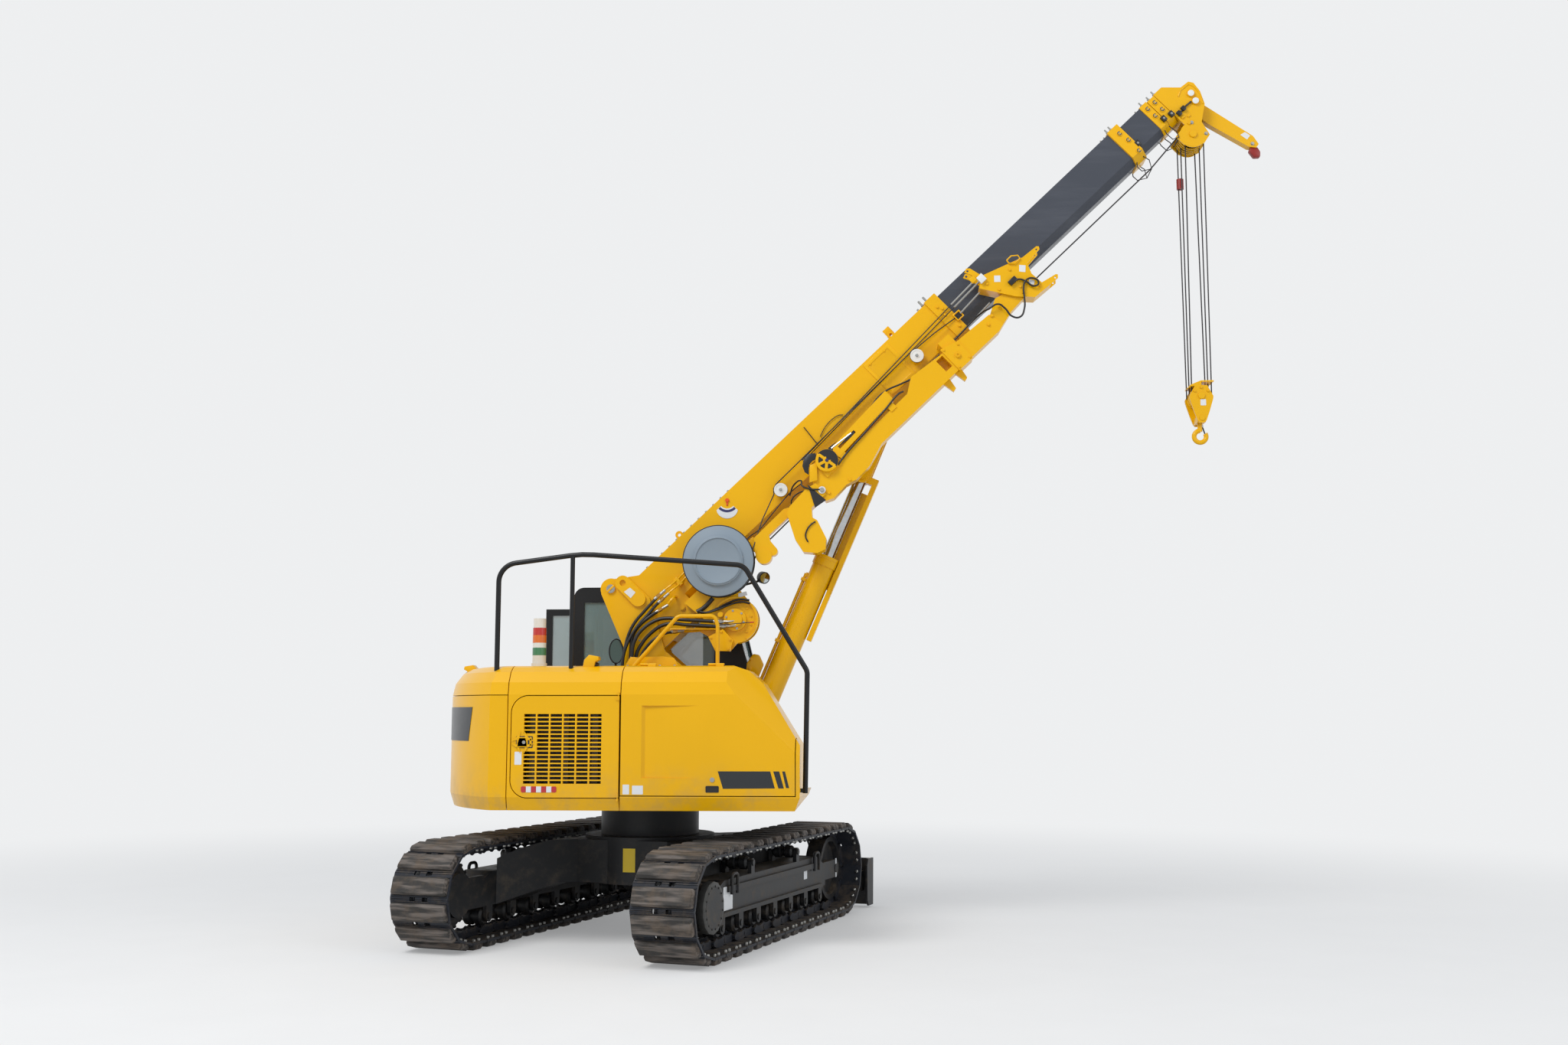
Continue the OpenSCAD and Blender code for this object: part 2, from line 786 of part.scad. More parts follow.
module rear_shell() {
    color(yellow)
        difference() {
            intersection() {
                body_panels();
                union() {
                    translate([-tail_r - over, -body_hw - over, crease_z])
                        cube([tail_r + weight_x + over, 2 * body_hw + 2 * over, body_top]);
                    translate([weight_x, channel_r + fit, body_z - over])
                        cube([cab_rear - 20 - weight_x, body_hw - channel_r + over, body_top]);
                    translate([weight_x, channel_r + fit, body_top - 200])
                        cube([cowl_x - weight_x, cab_in - 6 - channel_r, body_top]);
                    translate([weight_x, channel_r + fit, body_z - over])
                        cube([nose_x - weight_x + over, body_hw - channel_r + over, cab_z0 - body_z + over - fit]);
                }
            }
            translate([hood_x0 - door_gap, hood_y0 - door_gap, body_top - panel_t - over])
                cube([hood_x1 - hood_x0 + 2 * door_gap, hood_y1 - hood_y0 + 2 * door_gap, panel_t + 2 * over]);
        }
    color(yellow) {
        // bulkhead in front of the engine
        translate([cowl_x - panel_t, channel_r + fit, body_z + 62])
            cube([panel_t, cab_in - 6 - channel_r, body_top - panel_t - body_z - 62]);
        // knuckles of the hood, along Y
        for (y = hood_hinges) {
            translate([hood_hinge_x, y, lid_z]) rotate([-90, 0, 0]) pinned_knuckle(60, 66);
            translate([hood_hinge_x, y, body_top - 1]) cube([34, 60, 10]);
        }
    }
}

module engine_hood() {
    color(yellow)
        translate([hood_x0, hood_y0, body_top - panel_t])
            cube([hood_x1 - hood_x0, hood_y1 - hood_y0, panel_t]);
    color(yellow)
        for (y = hood_hinges)
            translate([hood_hinge_x, y + 63, lid_z]) {
                rotate([-90, 0, 0]) bored_knuckle(60);
                translate([-34, 0, -12]) cube([28, 60, 12]);
            }
}

module engine_block() {
    color(black)
        translate([-890, -530, deck_z + fit]) cube([400, 730, 720]);
}

luff_foot = [700, 1250];
luff_pin_r = 40;
frame_z = body_z + 10;
deck_z = frame_z + 50;
web_y = 225;
web_t = 40;
web_top = 1340;

module revolving_frame() {
    color(steel_dark) {
        // slewing race and the main plate
        translate([0, 0, pedestal_top + fit]) cylinder(r = pedestal_r - 20, h = frame_z - pedestal_top);
        intersection() {
            body_form(panel_t + 1);
            translate([weight_x + 10, -body_hw, frame_z]) cube([2 * tail_r, 2 * body_hw, deck_z - frame_z]);
        }
    }
    color(yellow) {
        // webs under the tower and ears for the luffing cylinder's foot
        for (s = [-1, 1]) {
            slab_y(s > 0 ? web_y : -web_y - web_t, s > 0 ? web_y + web_t : -web_y)
                polygon([[-430, deck_z], [1240, deck_z], [1240, 1200], [900, web_top], [-430, web_top]]);
            slab_y(s > 0 ? 84 : -116, s > 0 ? 116 : -84) {
                translate(luff_foot) circle(r = 92);
                polygon([[luff_foot[0] - 220, deck_z], [luff_foot[0] + 220, deck_z],
                         [luff_foot[0] + 88, luff_foot[1] + 24], [luff_foot[0] - 88, luff_foot[1] + 24]]);
            }
        }
        rod_y(luff_foot[0], luff_foot[1], luff_pin_r, -130, 130);
    }
}

pivot = [-pivot_back, pivot_z];
pivot_r = 35;
tower_in = base_w / 2 + 14;
tower_t = 38;
lug = [-216, 2863];

module boom_tower() {
    color(yellow) {
        for (s = [-1, 1])
            slab_y(s > 0 ? tower_in : -tower_in - tower_t, s > 0 ? tower_in + tower_t : -tower_in) {
                translate(pivot) circle(r = 88);
                polygon([
                    [-400, pivot_z - 40], [-205, 2330], [-195, web_top + fit], [300, web_top + fit], [300, 2160],
                    [140, 2300], [96, 2450], [6, 2740], [-170, pivot_z + 92], [-300, pivot_z + 84]
                ]);
            }
        rod_y(pivot[0], pivot[1], pivot_r, -tower_in - tower_t - 12, tower_in + tower_t + 12);
        // outer plate with the second pin hole
        slab_y(-tower_in - tower_t - 24, -tower_in - tower_t)
            difference() {
                union() {
                    translate(lug) circle(r = 62);
                    translate([lug[0] + 131, lug[1] - 135]) circle(r = 62);
                    polygon([
                        [lug[0] - 43, lug[1] - 45], [lug[0] + 44, lug[1] + 43],
                        [lug[0] + 175, lug[1] - 92], [lug[0] + 88, lug[1] - 180]
                    ]);
                }
                translate(lug) circle(r = 26);
            }
    }
}

// Cab

cab_in = channel_l;
cab_out = body_hw;
cab_z0 = deck_z + 2;

// Side view of the cab, inset by d
module cab_outline(d) {
    r = 90 - d / 2;
    difference() {
        polygon([
            [cab_rear + d, cab_z0 + d], [1130 - d, cab_z0 + d], [1130 - d, 1320], [1010 - d, 1500],
            [760 - d, 2300], [640 - d, 2780 - d * 0.6], [590 - d, cab_top - d], [cab_rear + d, cab_top - d]
        ]);
        // rounded rear top corner
        translate([cab_rear + d, cab_top - d - r]) difference() {
            translate([-over, 0]) square([r + over, r + over]);
            translate([r, 0]) circle(r = r);
        }
    }
}

// Windows, each as name, low x, low z, high x, high z
right_window = [-640, 1720, 500, 2740];
left_window = [-640, 1900, -500, 2700];
rear_window_y = [390, 1130];
rear_window_z = [1880, 2720];
front_window_y = [350, 1170];
hinge_x = -450;
door_opening = [hinge_x - 2, 1180, hinge_x + 16 + door_w, 2760];
hinge_out = body_hw + 17;
door_t = 40;

module window_cut(w, y0, y1, g) {
    translate([w[0] - g, y0, w[1] - g]) cube([w[2] - w[0] + 2 * g, y1 - y0, w[3] - w[1] + 2 * g]);
}

module front_cut() {
    slab_y(front_window_y[0], front_window_y[1])
        polygon([[1080, 1540], [860, 2300], [740, 2750], [500, 2750], [620, 2300], [860, 1540]]);
}

module cab_shell() {
    color(black)
        difference() {
            slab_y(cab_in, cab_out) cab_outline(0);
            slab_y(cab_in + cab_wall, cab_out - cab_wall) cab_outline(cab_wall);
            window_cut(right_window, cab_in - over, cab_in + cab_wall + over, 0);
            window_cut(left_window, cab_out - cab_wall - over, cab_out + over, 0);
            window_cut(door_opening, cab_out - cab_wall - over, cab_out + over, 0);
            translate([cab_rear - over, rear_window_y[0], rear_window_z[0]])
                cube([cab_wall + 2 * over, rear_window_y[1] - rear_window_y[0], rear_window_z[1] - rear_window_z[0]]);
            front_cut();
        }
    // hinge knuckles of the door
    color(black)
        for (z = [1620, 2420])
            translate([hinge_x, hinge_out, z + 60]) {
                mirror([0, 0, 1]) pinned_knuckle(60, 66);
                translate([-9, -hinge_out + cab_out - 1, -60]) cube([7, hinge_out - cab_out + 1, 60]);
            }
}

module cab_glass() {
    color(glass_tint) {
        window_cut(right_window, cab_in + 18, cab_in + 18 + glass_t, -fit);
        window_cut(left_window, cab_out - 24, cab_out - 24 + glass_t, -fit);
        translate([cab_rear + 18, rear_window_y[0] + fit, rear_window_z[0] + fit])
            cube([glass_t, rear_window_y[1] - rear_window_y[0] - 2 * fit,
                  rear_window_z[1] - rear_window_z[0] - 2 * fit]);
        // windscreen in two flat stretches
        intersection() {
            slab_y(front_window_y[0] + fit, front_window_y[1] - fit)
                difference() {
                    cab_outline(18);
                    cab_outline(18 + glass_t);
                }
            front_cut();
        }
    }
}

module cab_seat() {
    color(black) {
        translate([-420, 540, cab_z0 + cab_wall]) cube([420, 440, 280]);
        translate([-380, 520, cab_z0 + cab_wall + 280]) cube([480, 480, 120]);
        translate([-480, 530, cab_z0 + cab_wall + 280]) cube([100, 460, 640]);
        for (y = [400, 1020])
            translate([-250, y, cab_z0 + cab_wall]) cube([460, 90, 560]);
    }
}

door_low = 1190;
door_high = 2750;

module cab_door() {
    color(black) {
        difference() {
            translate([hinge_x - 8 - door_w, hinge_out + 17, door_low])
                cube([door_w, door_t, door_high - door_low]);
            translate([hinge_x - 8 - door_w + 60, hinge_out + 17 - over, door_low + 480])
                cube([door_w - 120, door_t + 2 * over, door_high - door_low - 540]);
        }
        for (z = [1557, 2357])
            translate([hinge_x, hinge_out, z]) {
                bored_knuckle(60);
                translate([-15, 0, 0]) cube([9, 20, 60]);
            }
    }
}

module door_glass() {
    color(glass_tint)
        translate([hinge_x - 8 - door_w + 60 + fit, hinge_out + 34, door_low + 480 + fit])
            cube([door_w - 120 - 2 * fit, glass_t, door_high - door_low - 540 - 2 * fit]);
}

// Rails and lamps

rail_y = 145 - body_hw;
rail_r = 20;
rail_foot = 2060;
rail_pts = [[-1055, rail_foot], [-1055, 2935], [-400, 3020], [868, 2925], [1362, 2105], [1345, 1180]];
rail_bends = [0, 150, 900, 110, 90, 0];

module guard_rail() {
    color(black)
        difference() {
            translate([0, rail_y, 0]) rotate([90, 0, 0]) {
                bent_bar(rail_pts, rail_bends, rail_r);
                bar([-472, rail_foot, 0], [-472, 3005, 0], rail_r - 2);
                bar([nose_x + fit, 1200, 0], [1345, 1200, 0], rail_r - 4);
            }
            body_form(-fit);
        }
}

handrail_y = -640;

module handrail() {
    color(yellow)
        difference() {
            translate([0, handrail_y, 0]) rotate([90, 0, 0])
                bent_bar([[-86, body_top - 30], [300, 2560], [600, 2560], [622, 2480], [622, body_top - 30]],
                         [0, 60, 50, 50, 0], 16);
            translate([-200, handrail_y - 30, body_top - 100 + fit]) cube([900, 60, 100]);
        }
}

lamp_at = [-800, -750];

module lamp_tower() {
    // base and stacked lenses: height and radius of each
    stack = [[30, 62], [62, 54], [60, 55], [40, 54], [60, 55], [60, 54], [75, 50]];
    function level(i) = i == 0 ? 0 : level(i - 1) + stack[i - 1][0];
    color("whitesmoke")
        translate([lamp_at[0], lamp_at[1], body_top + fit])
            for (i = [0 : len(stack) - 1])
                translate([0, 0, level(i)]) cylinder(r = stack[i][1], h = stack[i][0]);
}

// Boom, drawn along X from its foot pin and then raised

module in_boom() {
    translate([pivot[0], 0, pivot[1]]) rotate([0, -boom_angle, 0]) children();
}

// Tube outline in Y and Z: a box with its lower edges cut off
function tube_outline(w, h, mid, cut) = [
    [-w / 2, mid + h / 2], [w / 2, mid + h / 2], [w / 2, mid - h / 2 + cut],
    [w / 2 - cut, mid - h / 2], [-w / 2 + cut, mid - h / 2], [-w / 2, mid - h / 2 + cut]
];

// A stretch of tube from x0 to x1, grown by g all round
module tube_block(x0, x1, w, h, mid, cut, g) {
    translate([x0, 0, 0]) rotate([90, 0, 90])
        linear_extrude(x1 - x0)
            polygon(tube_outline(w + 2 * g, h + 2 * g, mid, cut + g * 0.586));
}

// Sections: width, height, wall, lower cut, rear end, front end, collar width, collar growth
sections = [
    [300, 350, 8, 62, 2250, 5860, 116, 14],
    [262, 306, 7, 54, 2710, 6186, 80, 7],
    [226, 264, 7, 46, 2900, 6272, 78, 20],
    [190, 222, 7, 38, 3100, 6300, 0, 0]
];
base_mid = -base_drop - base_h / 2;
inner_mid = -mid_drop;

module inner_section(i) {
    s = sections[i];
    next = i < 3 ? sections[i + 1] : undef;
    collar_x = s[5] - s[6];
    difference() {
        union() {
            tube_block(s[4], s[5], s[0], s[1], inner_mid, s[3], 0);
            if (s[6] > 0) tube_block(collar_x, s[5], s[0], s[1], inner_mid, s[3], s[7]);
        }
        tube_block(s[4] - over, collar_x, s[0], s[1], inner_mid, s[3], -s[2]);
        if (i < 3)
            tube_block(collar_x - over, s[5] + over, next[0], next[1], inner_mid, next[3], pin_fit);
    }
}

cyl_pin = [2206, -736];
reel_at = [812, -475];
reel_y = [-420, -318];
reel_shaft_r = 20;
bracket_in = 78;
bracket_t = 26;
eyes = [721, 3222];
// Depth and front end of the deep root, which carries the winch
cheek_z = -665;
cheek_x1 = 420;

module boom_base() {
    s = sections[0];
    color(yellow) in_boom() {
        difference() {
            union() {
                tube_block(-40, base_end, base_w, base_h, base_mid, 70, 0);
                // front collar
                tube_block(base_end - 120, base_end, base_w, base_h, base_mid, 70, 14);
                // ears of the foot pin
                for (y = [-base_w / 2, base_w / 2 - 50])
                    slab_y(y, y + 50) {
                        circle(r = 82);
                        polygon([[-82, 0], [-40, -base_drop - 200], [260, -base_drop - 10], [40, 74]]);
                    }
                // deep root under the tube, with its side plates standing proud
                slab_y(-base_w / 2, base_w / 2)
                    polygon([[-45, -base_drop - 100], [cheek_x1, -base_drop - 100], [cheek_x1, -590],
                             [cheek_x1 - 36, cheek_z], [-45, cheek_z]]);
                for (k = [-1, 1])
                    slab_y(k > 0 ? base_w / 2 - 1 : -base_w / 2 - 6, k > 0 ? base_w / 2 + 6 : -base_w / 2 + 1)
                        polygon([[-45, -base_drop - 60], [150, -base_drop - 12], [180, -110], [248, -241],
                                 [363, -433], [cheek_x1, -590], [cheek_x1 - 36, cheek_z], [-45, cheek_z]]);
            }
            tube_block(cheek_x1, base_end - 120, base_w, base_h, base_mid, 70, -base_wall);
            slab_y(-base_w / 2 + 14, base_w / 2 - 14)
                polygon([[60, -base_drop - base_wall], [cheek_x1 + over, -base_drop - base_wall],
                         [cheek_x1 + over, base_wall - base_drop - base_h],
                         [cheek_x1 - 14, base_wall - base_drop - base_h], [cheek_x1 - 14, -584],
                         [cheek_x1 - 46, cheek_z + 14], [60, cheek_z + 14]]);
            tube_block(base_end - 120 - over, base_end + over, s[0], s[1], inner_mid, s[3], pin_fit);
            // open rear end between the ears
            translate([-100, -base_w / 2 + 50, cheek_z - over]) cube([180, base_w - 100, 200 - cheek_z]);
            rod_y(0, 0, pivot_r + pin_fit, -base_w, base_w);
        }
        // shaft of the cable reel, in a boss that reaches below the side's lower cut
        rod_y(reel_at[0], reel_at[1], reel_shaft_r, reel_y[1] - 16, -base_w / 2 + 60);
        // lifting eyes on the top
        for (x = eyes)
            slab_y(-12, 12)
                difference() {
                    union() {
                        translate([x, -base_drop + 44]) circle(r = 34);
                        translate([x - 34, -base_drop]) square([68, 44]);
                    }
                    translate([x, -base_drop + 44]) circle(r = 14);
                }
        // bracket over the luffing cylinder's rod eye, with two short pins
        for (k = [-1, 1]) {
            slab_y(k > 0 ? bracket_in : -bracket_in - bracket_t, k > 0 ? bracket_in + bracket_t : -bracket_in) {
                translate(cyl_pin) circle(r = 82);
                polygon([
                    [1960, -base_drop - base_h], [2700, -base_drop - base_h], [2560, cyl_pin[1] + 70],
                    [cyl_pin[0] + 50, cyl_pin[1] - 65], [cyl_pin[0] - 80, cyl_pin[1] + 20]
                ]);
            }
            rod_y(cyl_pin[0], cyl_pin[1], 52, k > 0 ? bracket_in + bracket_t : -bracket_in - bracket_t - 16,
                  k > 0 ? bracket_in + bracket_t + 16 : -bracket_in - bracket_t);
        }
    }
}

winch_at = [578, -915];
winch_r = 165;
winch_y = [-300, -120];
winch_plate = 14;

module winch_frame() {
    color(yellow) in_boom() difference() {
        winch_plates();
        // room for the boom's deep root
        slab_y(-base_w / 2 - 6 - fit, base_w)
            polygon([[-45, -400], [cheek_x1 + fit, -400], [cheek_x1 + fit, -590], [cheek_x1 - 36, cheek_z - fit],
                     [-45, cheek_z - fit]]);
    }
}

module winch_plates() {
    union() {
        for (y = [winch_y[0], winch_y[1] - winch_plate])
            slab_y(y, y + winch_plate)
                difference() {
                    union() {
                        translate(winch_at) circle(r = winch_r + 26);
                        polygon([
                            [winch_at[0] - 210, -base_drop - base_h - 1], [winch_at[0] + 210, -base_drop - base_h - 1],
                            [winch_at[0] + winch_r + 20, winch_at[1]], [winch_at[0] - winch_r + 4, winch_at[1]]
                        ]);
                        // lobe towards the pin, outside only
                        if (y == winch_y[0])
                            translate(winch_at)
                                polygon([
                                    [-190, 180], [-299, 187], [-257, 60], [-297, -74], [-206, -162],
                                    [-96, -150], [0, -100], [0, 100]
                                ]);
                    }
                    translate(winch_at) circle(r = 40);
                }
        // square brake cover on the lobe, and the rim round the outer plate
        slab_y(winch_y[0] - 62, winch_y[0] + 1)
            translate(winch_at)
                polygon([[-254, 46], [-146, 16], [-124, 9], [-128, -117], [-207, -163], [-291, -77]]);
        slab_y(winch_y[0] - 16, winch_y[0] + 1)
            translate(winch_at)
                difference() {
                    circle(r = winch_r + 26);
                    circle(r = winch_r + 8);
                    translate([-winch_r - 60, -winch_r - 60]) square([winch_r + 20, 2 * winch_r + 120]);
                }
        // top plate, and the brake and motor on the outside
        translate([winch_at[0] - 210, winch_y[0], -base_drop - base_h - 20])
            cube([420, winch_y[1] - winch_y[0], 19.7]);
        rod_y(winch_at[0], winch_at[1], 92, winch_y[0] - 36, winch_y[0]);
        rod_y(winch_at[0], winch_at[1], 60, winch_y[0] - 56, winch_y[0] - 36);
    }
}

module winch_drum() {
    gap = 6;
    half = (winch_y[1] - winch_y[0]) / 2 - winch_plate - gap;
    mid = (winch_y[1] + winch_y[0]) / 2;
    color(steel_dark) in_boom()
        translate([winch_at[0], mid, winch_at[1]]) rotate([90, 0, 0]) {
            rotate_extrude()
                polygon([
                    [0, -half], [winch_r - 22, -half], [winch_r - 22, -half + 12], [92, -half + 12],
                    [92, half - 12], [winch_r - 22, half - 12], [winch_r - 22, half], [0, half]
                ]);
            cylinder(r = 40 - pin_fit, h = 2 * (half + gap + winch_plate) - 1, center = true);
        }
}

module cable_reel() {
    color(reel_grey) in_boom()
        translate([reel_at[0], 0, reel_at[1]]) rotate([90, 0, 0]) {
            rotate_extrude($fn = 96)
                polygon([
                    [reel_shaft_r + pin_fit, base_w / 2 + 3], [46, base_w / 2 + 3], [46, -reel_y[1]],
                    [reel_r, -reel_y[1]], [reel_r, -reel_y[1] + 12],
                    [reel_r - 80, -reel_y[1] + 16], [reel_r - 80, -reel_y[0] - 30],
                    [reel_r, -reel_y[0] - 26], [reel_r, -reel_y[0] - 14], [reel_r - 100, -reel_y[0] - 14],
                    [reel_r - 108, -reel_y[0]], [0, -reel_y[0]], [0, -reel_y[1] + 20],
                    [reel_shaft_r + pin_fit, -reel_y[1] + 20]
                ]);
        }
}

jib_y = [-405, -255];
jib_z = [-735, -560];
jib_rear = 1794;
jib_front = 3854;

module stowed_jib() {
    color(yellow) in_boom() {
        // beam, with its deeper rear end and its sleeve
        difference() {
            slab_y(jib_y[0], jib_y[1])
                polygon([
                    [jib_rear, jib_z[0] + 5], [jib_rear + 17, -557], [jib_rear + 139, -437], [jib_rear + 310, -437],
                    [jib_rear + 330, jib_z[1]], [2900, jib_z[1] + 10], [3020, -470], [3316, -504],
                    [jib_front, -541], [jib_front + 34, -680], [jib_front - 36, -700], [2458, -705],
                    [2260, -770], [2100, -776], [2010, -750], [1860, -760]
                ]);
            // pocket behind the sleeve, and the hollow of the box in front of it
            translate([3262, jib_y[0] - over, -640]) cube([70, 90, 120]);
        }
        slab_y(jib_y[0] - 12, jib_y[1] + 12)
            polygon([[3352, -476], [3399, -485], [3512, -524], [3498, -712], [3348, -712]]);
        // arm behind the beam with its roller, under the boom
        slab_y(jib_y[0] + 60, jib_y[1] + 10) {
            polygon([
                [1150, -534], [1500, -528], [1560, -560], [1520, -606], [1262, -602], [1240, -640],
                [1205, -690], [1110, -640]
            ]);
            translate([1195, -722]) circle(r = 38);
            polygon([[1157, -722], [1120, -600], [1240, -600], [1233, -722]]);
        }
        rod_y(1112, -700, 66, jib_y[0] + 50, jib_y[1] + 20);
        slab_y(jib_y[0] + 60, jib_y[1] + 10) polygon([[1060, -660], [1120, -560], [1200, -640], [1150, -720]]);
        // brackets on the boom
        for (x = [1900, 3380])
            translate([x, jib_y[0] + 20, -690])
                cube([120, -base_w / 2 - jib_y[0] - 20 - fit, 270]);
        // lugs under the beam
        for (x = [3210, 3340])
            slab_y(-352, -312)
                polygon([[x - 30, -690], [x + 40, -690], [x + 22, -790], [x - 12, -800]]);
        // neck and end plates with two prongs each, joined by a sloping web
        slab_y(jib_y[0] + 10, jib_y[1] - 10)
            polygon([[jib_front, -550], [3985, -477], [4085, -500], [4160, -640], [4001, -651],
                     [jib_front + 20, -684]]);
        for (y = [jib_y[0] - 14, jib_y[1]])
            slab_y(y, y + 14)
                difference() {
                    polygon([
                        [3947, -324], [4006, -287], [3978, -190], [3955, -142], [3990, -128], [4014, -152],
                        [4040, -264], [4392, -388], [4540, -400], [4553, -416], [4540, -436], [4382, -451],
                        [4347, -539], [4354, -652], [4485, -682], [4497, -696], [4476, -718], [4227, -703],
                        [4115, -584]
                    ]);
                    translate([3982, -152]) circle(r = 10);
                    translate([4520, -418]) circle(r = 8);
                    translate([4462, -700]) circle(r = 8);
                }
        slab_y(jib_y[0] - 1, jib_y[1] + 1)
            polygon([[3947, -324], [3960, -316], [4128, -576], [4236, -690], [4400, -702], [4400, -714],
                     [4227, -703], [4115, -584]]);
        // long box over the beam with a slot, on two feet
        difference() {
            slab_y(jib_y[0] - 10, jib_y[1] - 40)
                polygon([[2125, -470], [2150, -440], [2785, -405], [2785, -505], [2125, -545]]);
            translate([2180, jib_y[0] - 10 - over, -498]) rotate([0, -3, 0]) cube([190, 40, 26]);
        }
        for (x = [2130, 2700])
            translate([x, jib_y[0] - 8, jib_z[1] - 10]) cube([60, 100, 60]);
        // grooved wheel and its fork at the rear end
        slab_y(jib_y[0] - 14, jib_y[0] + 1) {
            translate([2032, -496]) circle(r = 40);
            polygon([[1933, -437], [2110, -437], [2100, -600], [1940, -600]]);
        }
        rod_y(2032, -496, 95, jib_y[0] - 32, jib_y[0] - 14);
        // bent box behind the beam
        slab_y(jib_y[0] - 14, jib_y[1] + 14)
            polygon([
                [1462, -640], [1491, -583], [1547, -557], [1740, -544], [jib_rear + 40, -566], [jib_rear + 40, -690],
                [1670, -692], [1619, -753], [1632, -798], [1583, -956], [1516, -1018], [1444, -995],
                [1369, -909], [1391, -788]
            ]);
    }
}

guide_at = [[1599, -381], [3211, -351]];

module guide_sheaves() {
    color("whitesmoke") in_boom()
        for (g = guide_at) {
            rod_y(g[0], g[1], 56, -base_w / 2 - 62, -base_w / 2 - 40);
            rod_y(g[0], g[1], 24, -base_w / 2 - 40, -base_w / 2 - fit);
        }
}

// Luffing cylinder, drawn along X from its foot

cyl_top = [pivot[0] + cyl_pin[0] * cos(boom_angle) - cyl_pin[1] * sin(boom_angle),
           pivot[1] + cyl_pin[0] * sin(boom_angle) + cyl_pin[1] * cos(boom_angle)];
cyl_dir = cyl_top - luff_foot;
cyl_len = norm(cyl_dir);
cyl_turn = atan2(cyl_dir[1], cyl_dir[0]);
barrel_len = 2010;

module at_luff() {
    translate([luff_foot[0], 0, luff_foot[1]]) rotate([0, -cyl_turn, 0]) children();
}

module luff_barrel() {
    color(yellow) at_luff()
        difference() {
            union() {
                rod_y(0, 0, 82, -78, 78);
                rotate([0, 90, 0]) cylinder(r = barrel_r, h = barrel_len - 90);
                translate([barrel_len - 90, 0, 0]) rotate([0, 90, 0]) cylinder(r = barrel_r + 8, h = 90);
                // pipe along the barrel
                translate([180, 0, barrel_r + 16]) rotate([0, 90, 0]) cylinder(r = 14, h = barrel_len - 380);
                for (x = [180, barrel_len - 230])
                    translate([x, -14, barrel_r - 12]) cube([40, 28, 28]);
            }
            for (s = [-1, 1])
                translate([-150, s > 0 ? 78 : -78 - 60, -120]) cube([264, 60, 240]);
            rod_y(0, 0, luff_pin_r + pin_fit, -150, 150);
            translate([140, 0, 0]) rotate([0, 90, 0]) cylinder(r = rod_r + pin_fit, h = barrel_len);
        }
}

module luff_rod() {
    guard_z = -barrel_r - 44;
    color(chrome) at_luff() translate([700, 0, 0]) rotate([0, 90, 0]) cylinder(r = rod_r, h = cyl_len - 700);
    color(yellow) at_luff() {
        rod_y(cyl_len, 0, 74, -66, 66);
        // guard channel carried by the rod's eye
        translate([cyl_len - 1480, -46, guard_z]) cube([1480, 8, 34]);
        translate([cyl_len - 1480, 38, guard_z]) cube([1480, 8, 34]);
        translate([cyl_len - 1480, -46, guard_z - 8]) cube([1480, 92, 8]);
        translate([cyl_len - 60, -46, guard_z - 1]) cube([60, 92, 100]);
    }
}

module boom_2() {
    color(boom_grey) in_boom() inner_section(0);
}

module boom_3() {
    color(boom_grey) in_boom() inner_section(1);
}

module boom_4() {
    color(boom_grey) in_boom() inner_section(2);
}

head_at = [6270, -585];
head_pin_r = 30;

module boom_5() {
    s = sections[3];
    half = head_w / 2;
    plate = 16;
    color(boom_grey) in_boom() inner_section(3);
    color(yellow) in_boom() {
        // box in front of the collars, closed round the end of the tube
        slab_y(-half - plate, half + plate)
            polygon([
                [6280, -101], [6376, -102], [6440, -172], [6400, -420], [6286, -440], [6280, -440]
            ]);
        // side plates that carry the sheaves, and two bosses on each
        for (k = [-1, 1])
            slab_y(k > 0 ? half : -half - plate, k > 0 ? half + plate : -half) {
                polygon([
                    [6280, -110], [6376, -102], [6492, -218], [6576, -227], [6599, -266], [6586, -357],
                    [6533, -466], [6400, -560], [6384, -627], [6369, -688], [6286, -708], [6222, -690],
                    [6150, -600], [6150, -500], [6280, -480]
                ]);
                translate(head_at) circle(r = 108);
            }
        // front web between the plates
        slab_y(-half - 1, half + 1)
            polygon([[6430, -172], [6492, -230], [6576, -240], [6586, -357], [6533, -460], [6500, -470],
                     [6440, -430]]);
        // short arm for a single line
        slab_y(-40, 40)
            polygon([
                [6440, -420], [6554, -440], [6655, -945], [6638, -1030], [6600, -1036], [6560, -983],
                [6463, -605]
            ]);
        rod_y(head_at[0], head_at[1], head_pin_r, -half - plate - 14, half + plate + 14);
        rod_y(6511, -318, 30, -half - plate - 16, half + plate + 16);
        rod_y(6491, -394, 30, -half - plate - 16, half + plate + 16);
    }
}

sheave_ys = [-82, 0, 82];
block_ys = [-60, 0, 60];

module head_sheaves() {
    color(steel_dark) in_boom()
        for (y = sheave_ys)
            translate([head_at[0], y, head_at[1]]) rotate([90, 0, 0])
                rotate_extrude($fn = 72)
                    polygon([
                        [head_pin_r + fit, -17], [sheave_r, -21], [sheave_r, -14], [sheave_r - 18, -5],
                        [sheave_r - 18, 5], [sheave_r, 14], [sheave_r, 21], [head_pin_r + fit, 17]
                    ]);
}

// Falls and hook, which hang plumb under the head

head_x = pivot[0] + head_at[0] * cos(boom_angle) - head_at[1] * sin(boom_angle);
head_z = pivot[1] + head_at[0] * sin(boom_angle) + head_at[1] * cos(boom_angle);
block_z = 4430;
line_off = sheave_r - 18 + rope_r + fit;

module falls() {
    color(steel_dark)
        for (i = [0 : 2])
            for (s = [-1, 1])
                bar([head_x + s * line_off, block_ys[i], block_z],
                    [head_x + s * line_off, sheave_ys[i], head_z], rope_r, $fn = 16);
}

